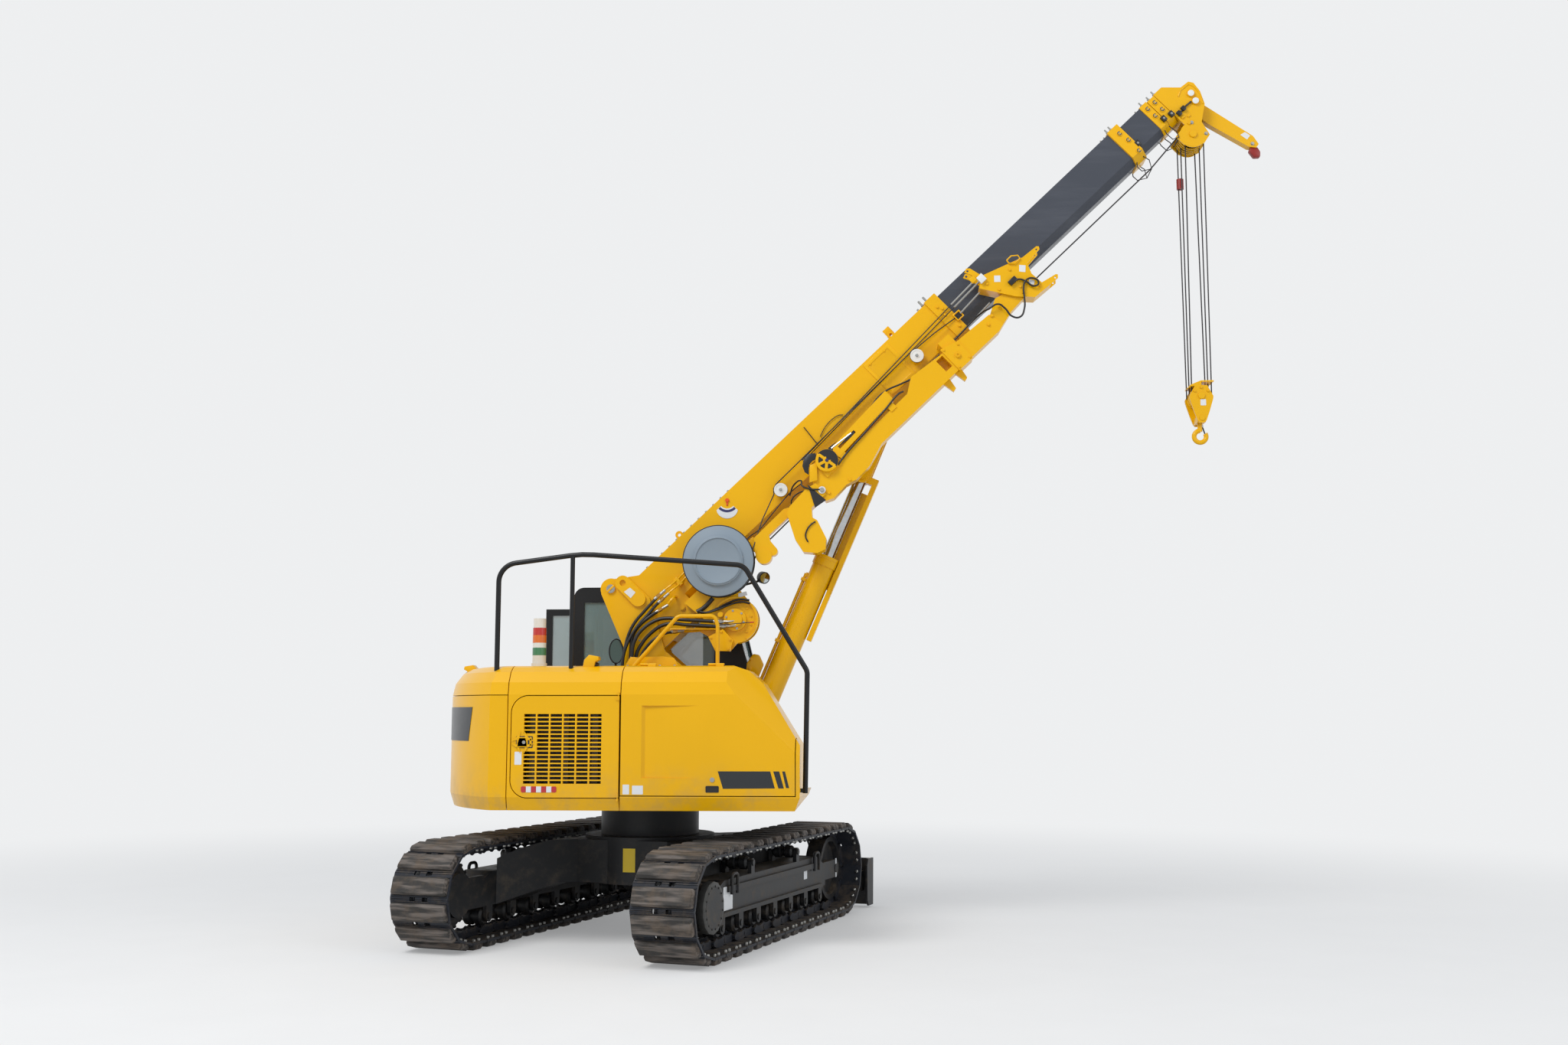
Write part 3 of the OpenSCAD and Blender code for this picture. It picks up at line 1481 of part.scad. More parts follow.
module limit_weight() {
    color("darkred")
        translate([head_x - line_off, sheave_ys[2] - 4, head_z - 420])
            difference() {
                cylinder(r = 30, h = 90);
                translate([0, 0, -over]) cylinder(r = rope_r + 1.5, h = 90 + 2 * over);
            }
}

module hook_block() {
    half = block_ys[2] + 26;
    plate = 20;
    color(yellow)
        translate([head_x, 0, 0]) {
            for (k = [-1, 1])
                slab_y(k > 0 ? half : -half - plate, k > 0 ? half + plate : -half)
                    translate([0, block_z])
                        polygon([
                            [-52, 86], [0, 92], [52, 86], [99, -5], [96, -30], [62, -140], [36, -212], [20, -230],
                            [-20, -230], [-36, -212], [-62, -140], [-96, -30], [-99, -5]
                        ]);
            // rope guard across the top, open for the falls
            difference() {
                slab_y(-half - plate, half + plate)
                    translate([0, block_z])
                        polygon([[-92, 92], [0, 130], [106, 130], [106, 118], [4, 118], [0, 92], [-52, 84],
                                 [-92, 80]]);
                for (y = block_ys)
                    for (k = [-1, 1])
                        translate([k * 90 - 30, y - 14, block_z + 60]) cube([60, 28, 100]);
            }
            // lower cross piece
            translate([-34, -half, block_z - 222]) cube([68, 2 * half, 52]);
            rod_y(0, block_z, 28, -half - plate - 10, half + plate + 10);
            rod_y(0, block_z - 190, 22, -half - plate - 6, half + plate + 6);
        }
    color(steel_dark)
        for (y = block_ys)
            translate([head_x, y, block_z]) rotate([90, 0, 0])
                rotate_extrude($fn = 72)
                    polygon([
                        [27, -17], [sheave_r - 6, -21], [sheave_r - 6, -14], [sheave_r - 18, -5],
                        [sheave_r - 18, 5], [sheave_r - 6, 14], [sheave_r - 6, 21], [27, 17]
                    ]);
}

// The hook's bend: its middle radius and the thickness of its bar
hook_bend = 50;
hook_bar = 20;
hook_z = block_z - 332;

module hook() {
    color(yellow)
        translate([head_x, 0, hook_z]) {
            // shank up to the block, and the bent hook in the plane of X and Z
            translate([0, 0, hook_bend - 8]) cylinder(r = hook_bar, h = 110 - fit - hook_bend + 8);
            rotate([90, 0, 0])
                rotate([0, 0, 90]) rotate_extrude(angle = 300, $fn = 64)
                    translate([hook_bend, 0]) circle(r = hook_bar);
        }
}

carbody();
track_frames();
track_right();
track_left();
sprockets();
idlers();
track_rollers();
blade();
blade_barrel();
blade_rod();
revolving_frame();
boom_tower();
counterweight();
engine_block();
right_shell();
rear_shell();
grille_door();
front_door();
engine_hood();
cab_shell();
cab_glass();
cab_seat();
cab_door();
door_glass();
guard_rail();
handrail();
lamp_tower();
boom_base();
winch_frame();
winch_drum();
cable_reel();
stowed_jib();
guide_sheaves();
luff_barrel();
luff_rod();
boom_2();
boom_3();
boom_4();
boom_5();
head_sheaves();
falls();
limit_weight();
hook_block();
hook();
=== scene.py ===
# %% [markdown]
# # A crawler crane, dressed in Blender
#
# The machine's solids come ready made from its CAD model. This lesson keeps them where they are, gives each
# one a finish, and adds what a solid model leaves out: bolts, hoses, pipes, seams, lamps and labels.
# Everything is in metres. X points forward along the boom, Y to the cab's side and Z up, and the origin is on
# the ground under the slewing axis.

# %% Load the frame
import math

import bpy
import bmesh
from mathutils import Matrix, Vector


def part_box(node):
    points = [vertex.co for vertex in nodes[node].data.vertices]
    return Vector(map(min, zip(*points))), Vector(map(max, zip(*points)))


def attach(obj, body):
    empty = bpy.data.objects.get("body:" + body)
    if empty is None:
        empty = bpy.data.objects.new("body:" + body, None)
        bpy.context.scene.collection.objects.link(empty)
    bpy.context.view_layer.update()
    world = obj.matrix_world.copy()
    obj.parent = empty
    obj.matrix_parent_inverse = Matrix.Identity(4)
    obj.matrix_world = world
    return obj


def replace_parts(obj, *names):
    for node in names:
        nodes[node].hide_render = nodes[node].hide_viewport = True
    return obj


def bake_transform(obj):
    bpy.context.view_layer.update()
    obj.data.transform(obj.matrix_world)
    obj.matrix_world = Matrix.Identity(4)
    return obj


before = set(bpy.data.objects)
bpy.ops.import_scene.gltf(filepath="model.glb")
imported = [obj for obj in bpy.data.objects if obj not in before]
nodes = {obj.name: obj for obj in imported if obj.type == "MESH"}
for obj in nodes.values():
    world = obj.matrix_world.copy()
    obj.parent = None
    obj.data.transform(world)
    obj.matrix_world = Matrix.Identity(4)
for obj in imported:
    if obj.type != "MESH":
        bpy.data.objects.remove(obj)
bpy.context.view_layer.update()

# %% [markdown]
# ## The camera
#
# The photograph was taken from the machine's right, a little above eye height, looking slightly up. Its place
# was worked out from the machine's known sizes. Making the camera first means that every later step can be
# judged in the same picture.

# %% Place the camera
EYE = Vector((1.878, -12.868, 1.784))
TURN_LEFT = 0.059
TILT_UP = 0.1243

camera_data = bpy.data.cameras.new("camera")
camera_data.lens = 35.04
camera_data.sensor_width = 36.0
camera_data.clip_end = 200.0
camera = bpy.data.objects.new("camera", camera_data)
bpy.context.scene.collection.objects.link(camera)
camera.location = EYE
camera.rotation_euler = (math.pi / 2 + TILT_UP, 0.0, TURN_LEFT)
bpy.context.scene.camera = camera
bpy.context.scene.view_settings.view_transform = "Standard"

# %% [markdown]
# ## Shader sums written as Python
#
# A shader graph is a long sum drawn with boxes and wires. Wrapping each socket in a small class lets the sum
# be written as an ordinary expression: `1 - mask` adds the Math node by itself. Any other node comes from one
# method, so that a material reads from top to bottom.

# %% A socket that can be added and multiplied
class Wire:
    """One output socket of a material's node tree."""

    def __init__(self, net, socket):
        self.net = net
        self.socket = socket

    def __add__(self, other):
        return self.net.sum("ADD", self, other)

    def __radd__(self, other):
        return self.net.sum("ADD", other, self)

    def __sub__(self, other):
        return self.net.sum("SUBTRACT", self, other)

    def __rsub__(self, other):
        return self.net.sum("SUBTRACT", other, self)

    def __mul__(self, other):
        return self.net.sum("MULTIPLY", self, other)

    def __rmul__(self, other):
        return self.net.sum("MULTIPLY", other, self)

    def __truediv__(self, other):
        return self.net.sum("DIVIDE", self, other)

    def __abs__(self):
        return self.net.sum("ABSOLUTE", self)

    def __gt__(self, other):
        return self.net.sum("GREATER_THAN", self, other)

    def __lt__(self, other):
        return self.net.sum("LESS_THAN", self, other)


# %% A material's net of nodes
class Net:
    """Builds a material, or the nodes of its owner. Its point is the place on the piece, in metres."""

    def __init__(self, name, owner=None):
        self.material = owner or bpy.data.materials.new(name)
        self.material.use_nodes = True
        self.tree = self.material.node_tree
        self.tree.nodes.clear()
        self.point = self.node("ShaderNodeTexCoord", {}, {}, "Object")
        place = self.node("ShaderNodeSeparateXYZ", {}, {"Vector": self.point}, None)
        self.x = Wire(self, place.outputs["X"])
        self.y = Wire(self, place.outputs["Y"])
        self.z = Wire(self, place.outputs["Z"])

    def feed(self, socket, value):
        """Puts a number, a colour or a wire on an input socket."""
        if isinstance(value, Wire):
            self.tree.links.new(value.socket, socket)
        elif hasattr(value, "__len__") and len(value) == 3 and socket.type == "RGBA":
            socket.default_value = (*value, 1.0)
        else:
            socket.default_value = value

    def node(self, kind, settings, values, output=0):
        """Adds a node: its settings first, then what its sockets read."""
        made = self.tree.nodes.new(kind)
        for key, value in settings.items():
            if key == "stops":
                ramp = made.color_ramp
                while len(ramp.elements) < len(value):
                    ramp.elements.new(0.5)
                for element, (place, colour) in zip(ramp.elements, value):
                    element.position = place
                    element.color = (*colour, 1.0)
            else:
                setattr(made, key, value)
        for key, value in values.items():
            self.feed(made.inputs[key], value)
        return made if output is None else Wire(self, made.outputs[output])

    def sum(self, operation, *values):
        return self.node("ShaderNodeMath", {"operation": operation}, dict(enumerate(values)))

    def smooth(self, value, low, high):
        """0 below low, 1 above high and a soft step between them."""
        return self.node("ShaderNodeMapRange", {"interpolation_type": "SMOOTHSTEP"},
                         {"Value": value, "From Min": low, "From Max": high})

    def noise(self, scale, detail=3.0, rough=0.55, stretch=(1, 1, 1), turn=(0, 0, 0)):
        """Cloudy noise with so many lumps in a metre."""
        point = self.point
        if stretch != (1, 1, 1) or turn != (0, 0, 0):
            point = self.node("ShaderNodeMapping", {}, {"Vector": point, "Rotation": turn, "Scale": stretch})
        return self.node("ShaderNodeTexNoise", {}, {"Vector": point, "Scale": scale, "Detail": detail,
                                                    "Roughness": rough})

    def along(self, start, direction):
        """Distance of the point from start along a direction."""
        moved = self.node("ShaderNodeVectorMath", {"operation": "SUBTRACT"}, {0: self.point, 1: start})
        return self.node("ShaderNodeVectorMath", {"operation": "DOT_PRODUCT"}, {0: moved, 1: direction}, "Value")

    def from_line(self, start, direction):
        """Distance of the point from a straight line."""
        moved = self.node("ShaderNodeVectorMath", {"operation": "SUBTRACT"}, {0: self.point, 1: start})
        across = self.node("ShaderNodeVectorMath", {"operation": "CROSS_PRODUCT"}, {0: moved, 1: direction})
        return self.node("ShaderNodeVectorMath", {"operation": "LENGTH"}, {0: across}, "Value")

    def blend(self, amount, first, second):
        """A colour that goes from first to second."""
        made = self.node("ShaderNodeMix", {"data_type": "RGBA"}, {}, None)
        self.feed(made.inputs[0], amount)
        self.feed(made.inputs[6], first)
        self.feed(made.inputs[7], second)
        return Wire(self, made.outputs[2])

    def bump(self, height, distance, strength=1.0):
        return self.node("ShaderNodeBump", {}, {"Height": height, "Distance": distance, "Strength": strength})

    def seen(self):
        """1 where the camera or a shiny surface looks, and 0 for light that only falls."""
        rays = self.node("ShaderNodeLightPath", {}, {}, None).outputs
        return self.sum("MAXIMUM", Wire(self, rays["Is Camera Ray"]), Wire(self, rays["Is Glossy Ray"]))

    def finish(self, **sockets):
        """The surface shader, with its sockets named by words joined by underscores."""
        shader = self.node("ShaderNodeBsdfPrincipled", {}, {
            key.replace("_", " "): value for key, value in sockets.items()})
        self.node("ShaderNodeOutputMaterial", {}, {"Surface": shader}, None)
        return self.material


def linear(r, g, b):
    """A colour as a picture shows it, 0 to 255, turned into light."""
    return tuple(((c / 255 + 0.055) / 1.055) ** 2.4 if c > 10 else c / 255 / 12.92 for c in (r, g, b))


# %% [markdown]
# ## Where the boom lies
#
# Much of the machine hangs on the raised boom. Two numbers give any place on it: the distance along it from
# the foot pin, and the height over the line through that pin. A helper turns them into the world's metres.

# %% The boom's own directions
BOOM_ANGLE = math.radians(43.5)
BOOM_PIN = Vector((-0.317, 0.0, 2.815))
ALONG = Vector((math.cos(BOOM_ANGLE), 0.0, math.sin(BOOM_ANGLE)))
ABOVE = Vector((-math.sin(BOOM_ANGLE), 0.0, math.cos(BOOM_ANGLE)))


def on_boom(along, above, y=0.0):
    return BOOM_PIN + ALONG * along + ABOVE * above + Vector((0.0, y, 0.0))


CYLINDER_FOOT = Vector((0.70, 0.0, 1.25))
CYLINDER_TOP = on_boom(2.206, -0.736)
CYLINDER_LENGTH = (CYLINDER_TOP - CYLINDER_FOOT).length
UP_CYLINDER = (CYLINDER_TOP - CYLINDER_FOOT).normalized()
TRACK_TURN = math.radians(72.5)
FORE = Vector((math.cos(TRACK_TURN), math.sin(TRACK_TURN), 0.0))
LEFT = Vector((-math.sin(TRACK_TURN), math.cos(TRACK_TURN), 0.0))

# %% [markdown]
# ## Finishes
#
# Machine paint is a smooth coat over steel. It has a faint orange peel, collects a film of dust low down and
# loses a little gloss there. Each finish below starts from that idea, with its own colour, and adds what its
# own surface has been through: mud on the rubber, oil on the rods, dust on the black frames. Two finishes also
# hold painted light: the pale streaks on the track rubber are scuffs and painted light at once, and the pale
# streaks on the grey boom sections are a painted sheen.

# %% Yellow paint
YELLOW = linear(240, 181, 4)
DUST = linear(150, 132, 104)


def yellow_coat(net, colour=YELLOW):
    """Colour, roughness and bump of the yellow coat."""
    cloud = net.noise(0.9, 4.0)
    grain = net.noise(160.0, 2.0)
    low = 1.0 - net.smooth(net.z, 1.0, 1.5)
    film = low * net.smooth(net.noise(5.0, 6.0, 0.65), 0.42, 0.72) * 0.35
    deeper = tuple(c * 0.86 for c in colour)
    tone = net.blend(cloud, colour, deeper)
    return (net.blend(film, tone, DUST), 0.26 + 0.22 * film + 0.05 * cloud,
            net.bump(grain, 0.0004, 0.25))


def make_yellow():
    net = Net("yellow_paint")
    colour, rough, bump = yellow_coat(net)
    return net.finish(Base_Color=colour, Roughness=rough, Normal=bump, Coat_Weight=0.15, Coat_Roughness=0.08,
                      Specular_IOR_Level=0.22)


yellow_paint = make_yellow()


# %% Dark paint on the undercarriage
def make_chassis(name, colour, rough):
    net = Net(name)
    cloud = net.noise(2.2, 5.0)
    dust = net.smooth(net.noise(9.0, 6.0, 0.7), 0.45, 0.75) * (1.0 - net.smooth(net.z, 0.3, 1.1))
    top = net.node("ShaderNodeNewGeometry", {}, {}, "Normal")
    upward = net.node("ShaderNodeSeparateXYZ", {}, {"Vector": top}, "Z")
    lying = net.smooth(upward, 0.5, 0.95) * net.smooth(net.noise(14.0, 5.0, 0.7), 0.35, 0.65) * 0.6
    lying = lying * (1.0 - net.smooth(net.z, 0.9, 1.05))
    dirt = net.sum("MINIMUM", dust * 0.35 + lying, 1.0)
    paler = tuple(c * 1.7 + 0.004 for c in colour)
    tone = net.blend(cloud, colour, paler)
    return net.finish(Base_Color=net.blend(dirt, tone, linear(112, 98, 80)),
                      Roughness=rough + 0.35 * dirt + 0.1 * cloud, Specular_IOR_Level=0.3,
                      Normal=net.bump(net.noise(120.0, 3.0) + dirt * 0.6, 0.0012, 0.35))


chassis_paint = make_chassis("chassis_paint", linear(24, 25, 27), 0.38)
black_paint = make_chassis("black_paint", linear(14, 15, 17), 0.3)


# %% Rubber of the track pads
def make_rubber():
    net = Net("track_rubber")
    cloud = net.noise(6.0, 6.0, 0.7)
    fine = net.noise(60.0, 5.0, 0.7)
    streaks = net.node("ShaderNodeCombineXYZ", {}, {
        "X": net.along((0, 0, 0), FORE) * 30.0, "Y": net.along((0, 0, 0), LEFT) * 4.0, "Z": net.z * 30.0})
    # The pale streaks are scuffed rubber and painted light at once: they brighten the pads as light from above
    # would.
    worn_and_lit = net.node("ShaderNodeTexNoise", {}, {"Vector": streaks, "Scale": 1.0, "Detail": 5.0})
    scuff_and_light = net.smooth(worn_and_lit, 0.40, 0.66)
    mud = net.smooth(cloud, 0.46, 0.66) * 0.7
    tone = net.blend(scuff_and_light, linear(44, 42, 40), linear(106, 98, 92))
    return net.finish(Base_Color=net.blend(mud * 0.55, tone, linear(112, 96, 80)),
                      Roughness=0.72 + 0.2 * mud,
                      Normal=net.bump(fine + scuff_and_light * 0.5, 0.003, 0.5))


track_rubber = make_rubber()


# %% Paint of the inner boom sections, with their yellow collars
TUBE = linear(66, 70, 79)


def make_tube(name, low, high, half=9.0):
    """Blue-grey paint, yellow between two distances along the boom and outside half its width."""
    net = Net(name)
    along = net.along(BOOM_PIN, ALONG)
    collar = net.sum("MAXIMUM", (along > low) * (along < high), abs(net.y) > half)
    yellow, rough, bump = yellow_coat(net)
    # The pale streaks along the grey paint are a painted sheen. They also change its gloss.
    sheen_streak = net.smooth(net.noise(7.0, 5.0, 0.6, (0.12, 1.0, 1.0), (0, -BOOM_ANGLE, 0)), 0.45, 0.75)
    grey = net.blend(sheen_streak * 0.5, TUBE, linear(84, 87, 95))
    return net.finish(Base_Color=net.blend(collar, grey, yellow),
                      Roughness=rough * collar + (0.33 + 0.14 * sheen_streak) * (1.0 - collar),
                      Normal=bump, Coat_Weight=0.12, Coat_Roughness=0.12, Specular_IOR_Level=0.3)


tube_2 = make_tube("tube_paint_2", 5.742, 7.0)
tube_3 = make_tube("tube_paint_3", 6.105, 7.0)
tube_4 = make_tube("tube_paint_4", 6.193, 7.0)
tube_5 = make_tube("tube_paint_5", 6.277, 9.0, 0.1085)


# %% Chrome of the cylinder rods
def make_chrome(name, start, direction, radius, end):
    """Hard chrome near the rod's line, yellow paint on its eye and guard."""
    net = Net(name)
    chrome = (net.from_line(start, direction) < radius) * (net.along(start, direction) < end)
    yellow, rough, bump = yellow_coat(net)
    sheen_streak = net.noise(30.0, 3.0)
    bright = net.blend(sheen_streak, linear(205, 207, 208), linear(168, 170, 172))
    return net.finish(Base_Color=net.blend(chrome, yellow, bright),
                      Metallic=chrome, Specular_IOR_Level=0.22,
                      Roughness=rough * (1.0 - chrome) + (0.12 + 0.08 * sheen_streak) * chrome,
                      Normal=bump)


luff_chrome = make_chrome("luff_rod_finish", CYLINDER_FOOT, UP_CYLINDER, 0.0556, CYLINDER_LENGTH - 0.05)
blade_chrome = make_chrome("blade_rod_finish", Vector((0.0, 0.0, 0.69)) + FORE * 0.60,
                           (FORE * 0.9 + Vector((0, 0, -0.34))).normalized(), 0.0305, 0.93)


# %% Glass, steel, plastic and the other small finishes
def make_plain(name, colour, rough, metallic=0.0, lumps=12.0, spread=0.25, bump=0.0006, **more):
    """A finish whose colour and gloss waver a little."""
    net = Net(name)
    cloud = net.noise(lumps, 5.0, 0.6)
    other = tuple(c * (1.0 - spread) for c in colour)
    return net.finish(Base_Color=net.blend(cloud, colour, other), Roughness=rough + 0.1 * (cloud - 0.5),
                      Metallic=metallic, Normal=net.bump(net.noise(lumps * 12, 3.0), bump, 0.4), **more)


def make_glass():
    net = Net("pane_glass")
    smear = net.smooth(net.noise(3.0, 5.0, 0.6), 0.4, 0.8)
    return net.finish(Base_Color=linear(120, 146, 146), Roughness=0.03 + 0.06 * smear, Alpha=0.56 + 0.08 * smear,
                      Specular_IOR_Level=0.8)


pane_glass = make_glass()
rope_steel = make_plain("rope_steel", linear(58, 56, 58), 0.45, 0.4, 300.0, 0.5)
reel_paint = make_plain("reel_paint", linear(132, 146, 158), 0.42, 0.0, 3.0, 0.08)
red_paint = make_plain("red_paint", linear(150, 32, 26), 0.4, 0.0, 12.0, 0.3)
white_plastic = make_plain("white_plastic", linear(226, 228, 226), 0.35, 0.0, 8.0, 0.06)
black_rubber = make_plain("black_rubber", linear(26, 26, 28), 0.55, 0.0, 30.0, 0.25)
seat_fabric = make_plain("seat_fabric", linear(44, 46, 52), 0.9, 0.0, 400.0, 0.5, 0.001)
engine_dark = make_plain("engine_dark", linear(38, 38, 40), 0.6, 0.2, 8.0, 0.4)
zinc = make_plain("zinc_steel", linear(176, 176, 172), 0.32, 0.9, 60.0, 0.2)


# %% Lenses of the lamp tower, one colour over the other
LAMP_FOOT, LAMP_HEIGHT = 2.15, 0.388


def make_lamp():
    net = Net("lamp_lens")
    bands = net.node("ShaderNodeValToRGB", {"stops": [
        (0.0, linear(226, 226, 220)), (0.2351, linear(58, 128, 84)), (0.391, linear(230, 232, 226)),
        (0.496, linear(226, 112, 20)), (0.651, linear(196, 36, 26)), (0.801, linear(232, 226, 214))]},
        {"Fac": (net.z - LAMP_FOOT) / LAMP_HEIGHT})
    bands.socket.node.color_ramp.interpolation = "CONSTANT"
    ribs = net.sum("SINE", net.z * 900.0)
    return net.finish(Base_Color=bands, Roughness=0.16, Normal=net.bump(ribs, 0.0006, 0.5), Coat_Weight=0.5)


lamp_lens = make_lamp()

# %% [markdown]
# ## Giving the CAD pieces their finish
#
# A CAD node keeps its shape and only gets a better material. One table names the finish of each of them.

# %% Finish of each node
FINISHES = {
    yellow_paint: ["counterweight", "right_shell", "rear_shell", "grille_door", "front_door", "engine_hood",
                   "boom_tower", "handrail", "boom_base", "winch_frame", "stowed_jib", "luff_barrel",
                   "hook_block", "hook"],
    chassis_paint: ["carbody", "track_frames", "sprockets", "idlers", "track_rollers", "blade", "blade_barrel",
                    "winch_drum", "head_sheaves", "revolving_frame"],
    black_paint: ["cab_shell", "cab_door", "guard_rail"],
    track_rubber: ["track_right", "track_left"],
    tube_2: ["boom_2"], tube_3: ["boom_3"], tube_4: ["boom_4"], tube_5: ["boom_5"],
    luff_chrome: ["luff_rod"], blade_chrome: ["blade_rod"],
    pane_glass: ["cab_glass", "door_glass"], rope_steel: ["falls"], reel_paint: ["cable_reel"],
    red_paint: ["limit_weight"], white_plastic: ["guide_sheaves"],
    seat_fabric: ["cab_seat"], engine_dark: ["engine_block"], lamp_lens: ["lamp_tower"],
}
for finish, names in FINISHES.items():
    for name in names:
        nodes[name].data.materials.clear()
        nodes[name].data.materials.append(finish)
print("nodes with a finish:", sum(len(names) for names in FINISHES.values()), "of", len(nodes))

# %% [markdown]
# ## The workbench
#
# What follows is modelled as by hand: a primitive goes in at its size, edit mode shapes it and modifiers finish
# it. The helpers hold the moves that come back in every piece. A piece is often easiest to draw flat, so it is
# made on a drawing board, whose matrix then carries the mesh to its place on the machine.

# %% Drawing boards
def board(origin, right, up):
    """A drawing board: right and up lie in it, and its third axis comes out of it."""
    return Matrix.Translation(origin) @ Matrix((right, up, right.cross(up))).transposed().to_4x4()


UP = Vector((0.0, 0.0, 1.0))


def body_side(y):
    """X and Z of the machine, coming out to its right."""
    return board(Vector((0.0, y, 0.0)), Vector((1.0, 0.0, 0.0)), UP)


def boom_side(y):
    return board(on_boom(0.0, 0.0, y), ALONG, ABOVE)


def on_side(y, along, above):
    """The same board with its middle at a place on the boom."""
    return boom_side(y) @ Matrix.Translation((along, above, 0))


def track_side(y):
    """Distance along the tracks and height, coming out to the machine's right."""
    return board(LEFT * y, FORE, UP)


def facing(place, out, up=UP):
    """A small board at a place, which faces out."""
    out = Vector(out).normalized()
    right = Vector(up).cross(out)
    if right.length < 0.1:
        right = Vector((0.0, 1.0, 0.0)).cross(out)
    right.normalize()
    return board(Vector(place), right, out.cross(right))


def polar(radius, degrees):
    return radius * math.cos(math.radians(degrees)), radius * math.sin(math.radians(degrees))


def round_places(middle, radius, angles, out=0.0):
    """Boards on a circle round the middle of a board."""
    return [middle @ Matrix.Translation((*polar(radius, a), out)) for a in angles]


# %% Selecting and settling
def alone(thing):
    """Selects one object and nothing else."""
    bpy.ops.object.select_all(action="DESELECT")
    thing.select_set(True)
    bpy.context.view_layer.objects.active = thing
    return thing


def show(name, data):
    thing = bpy.data.objects.new(name, data)
    bpy.context.scene.collection.objects.link(thing)
    return alone(thing)


def fresh(add, **sizes):
    """Adds a primitive with nothing else selected."""
    bpy.ops.object.select_all(action="DESELECT")
    add(**sizes)
    return bpy.context.object


def apply_modifier(thing, kind, **settings):
    """Adds a modifier, sets it up and applies it."""
    modifier = thing.modifiers.new(kind.lower(), kind)
    for key, value in settings.items():
        setattr(modifier, key, value)
    bpy.ops.object.modifier_apply(modifier=modifier.name)


def settle(thing, finish, matrix=None, soften=0.0):
    """Puts the place into the mesh, rounds the edges and gives a finish."""
    alone(thing)
    bpy.ops.object.transform_apply(location=True, rotation=True, scale=True)
    if soften:
        apply_modifier(thing, "BEVEL", width=soften, segments=2, limit_method="ANGLE")
    if matrix is not None:
        thing.data.transform(matrix)
    thing.data.materials.clear()
    thing.data.materials.append(finish)
    return thing


def work_face(thing, steps):
    """Each step insets the outer face and then moves it out, with straight walls or with a slope."""
    alone(thing)
    bpy.ops.object.mode_set(mode="EDIT")
    bpy.ops.mesh.select_mode(type="FACE")
    bpy.ops.mesh.select_all(action="DESELECT")
    shape = bmesh.from_edit_mesh(thing.data)
    for face in shape.faces:
        face.select_set(face.normal.z > 0.9)
    bmesh.update_edit_mesh(thing.data)
    for inset, move, *slope in steps:
        if inset:
            bpy.ops.mesh.inset(thickness=inset, depth=0.0)
        if slope:
            bpy.ops.transform.translate(value=(0.0, 0.0, move))
        elif move:
            bpy.ops.mesh.extrude_region_move(TRANSFORM_OT_translate={"value": (0.0, 0.0, move)})
    bpy.ops.object.mode_set(mode="OBJECT")


# %% Blocks, round pieces and plates
def block(low, high, finish, matrix=None, soften=0.003, steps=()):
    """A box between two corners of a board."""
    low, high = Vector(low), Vector(high)
    thing = fresh(bpy.ops.mesh.primitive_cube_add, size=1.0, location=(low + high) / 2)
    thing.scale = high - low
    bpy.ops.object.transform_apply(location=True, rotation=True, scale=True)
    if steps:
        work_face(thing, steps)
    return settle(thing, finish, matrix, soften)


def round_piece(radius, depth, finish, matrix, steps=(), sides=32, soften=0.0):
    """A cylinder that stands on its board."""
    thing = fresh(bpy.ops.mesh.primitive_cylinder_add, vertices=sides, radius=radius, depth=depth,
                  location=(0, 0, depth / 2))
    if steps:
        work_face(thing, steps)
    return settle(thing, finish, matrix, soften)


def ring(radius, thickness, finish, matrix=None, around=48):
    """A round wire closed to a circle, which lies on its board."""
    return settle(fresh(bpy.ops.mesh.primitive_torus_add, major_radius=radius, minor_radius=thickness,
                        major_segments=around, minor_segments=8), finish, matrix)


def plate(outline, depth, finish, matrix, soften=0.0015, steps=()):
    """A flat outline on a board, extruded out of it."""
    mesh = bpy.data.meshes.new("outline")
    mesh.from_pydata([(u, v, 0.0) for u, v in outline], [], [range(len(outline))])
    thing = show("plate", mesh)
    bpy.ops.object.mode_set(mode="EDIT")
    bpy.ops.mesh.select_all(action="SELECT")
    bpy.ops.mesh.extrude_region_move(TRANSFORM_OT_translate={"value": (0.0, 0.0, depth)})
    bpy.ops.mesh.select_all(action="SELECT")
    bpy.ops.mesh.normals_make_consistent(inside=False)
    bpy.ops.object.mode_set(mode="OBJECT")
    if steps:
        work_face(thing, steps)
    return settle(thing, finish, matrix, soften)


def rounded(x0, z0, x1, z1, r, steps=4):
    """The outline of a rectangle with round corners."""
    corners = [(x1 - r, z0 + r, -90), (x1 - r, z1 - r, 0), (x0 + r, z1 - r, 90), (x0 + r, z0 + r, 180)]
    turns = [(x, z, math.radians(a + 90.0 * i / steps)) for x, z, a in corners for i in range(steps + 1)]
    return [(x + r * math.cos(a), z + r * math.sin(a)) for x, z, a in turns]


def ring_part(inner, outer, first, last, count=16):
    """The outline of part of a ring, between two angles in degrees."""
    angles = [first + (last - first) * i / count for i in range(count + 1)]
    return [polar(outer, a) for a in angles] + [polar(inner, a) for a in reversed(angles)]


# %% Bars and hoses
def tube(points, radius, finish, smooth=True):
    """A round bar or hose through some points."""
    curve = bpy.data.curves.new("line", "CURVE")
    curve.dimensions, curve.bevel_depth, curve.bevel_resolution, curve.use_fill_caps = "3D", radius, 2, True
    curve.resolution_u = 6 if smooth else 1
    spline = curve.splines.new("BEZIER")
    spline.bezier_points.add(len(points) - 1)
    for knot, place in zip(spline.bezier_points, points):
        knot.co = place
        knot.handle_left_type = knot.handle_right_type = "AUTO" if smooth else "VECTOR"
    show("tube", curve)
    bpy.ops.object.convert(target="MESH")
    thing = bpy.context.object
    thing.data.materials.clear()
    thing.data.materials.append(finish)
    return thing


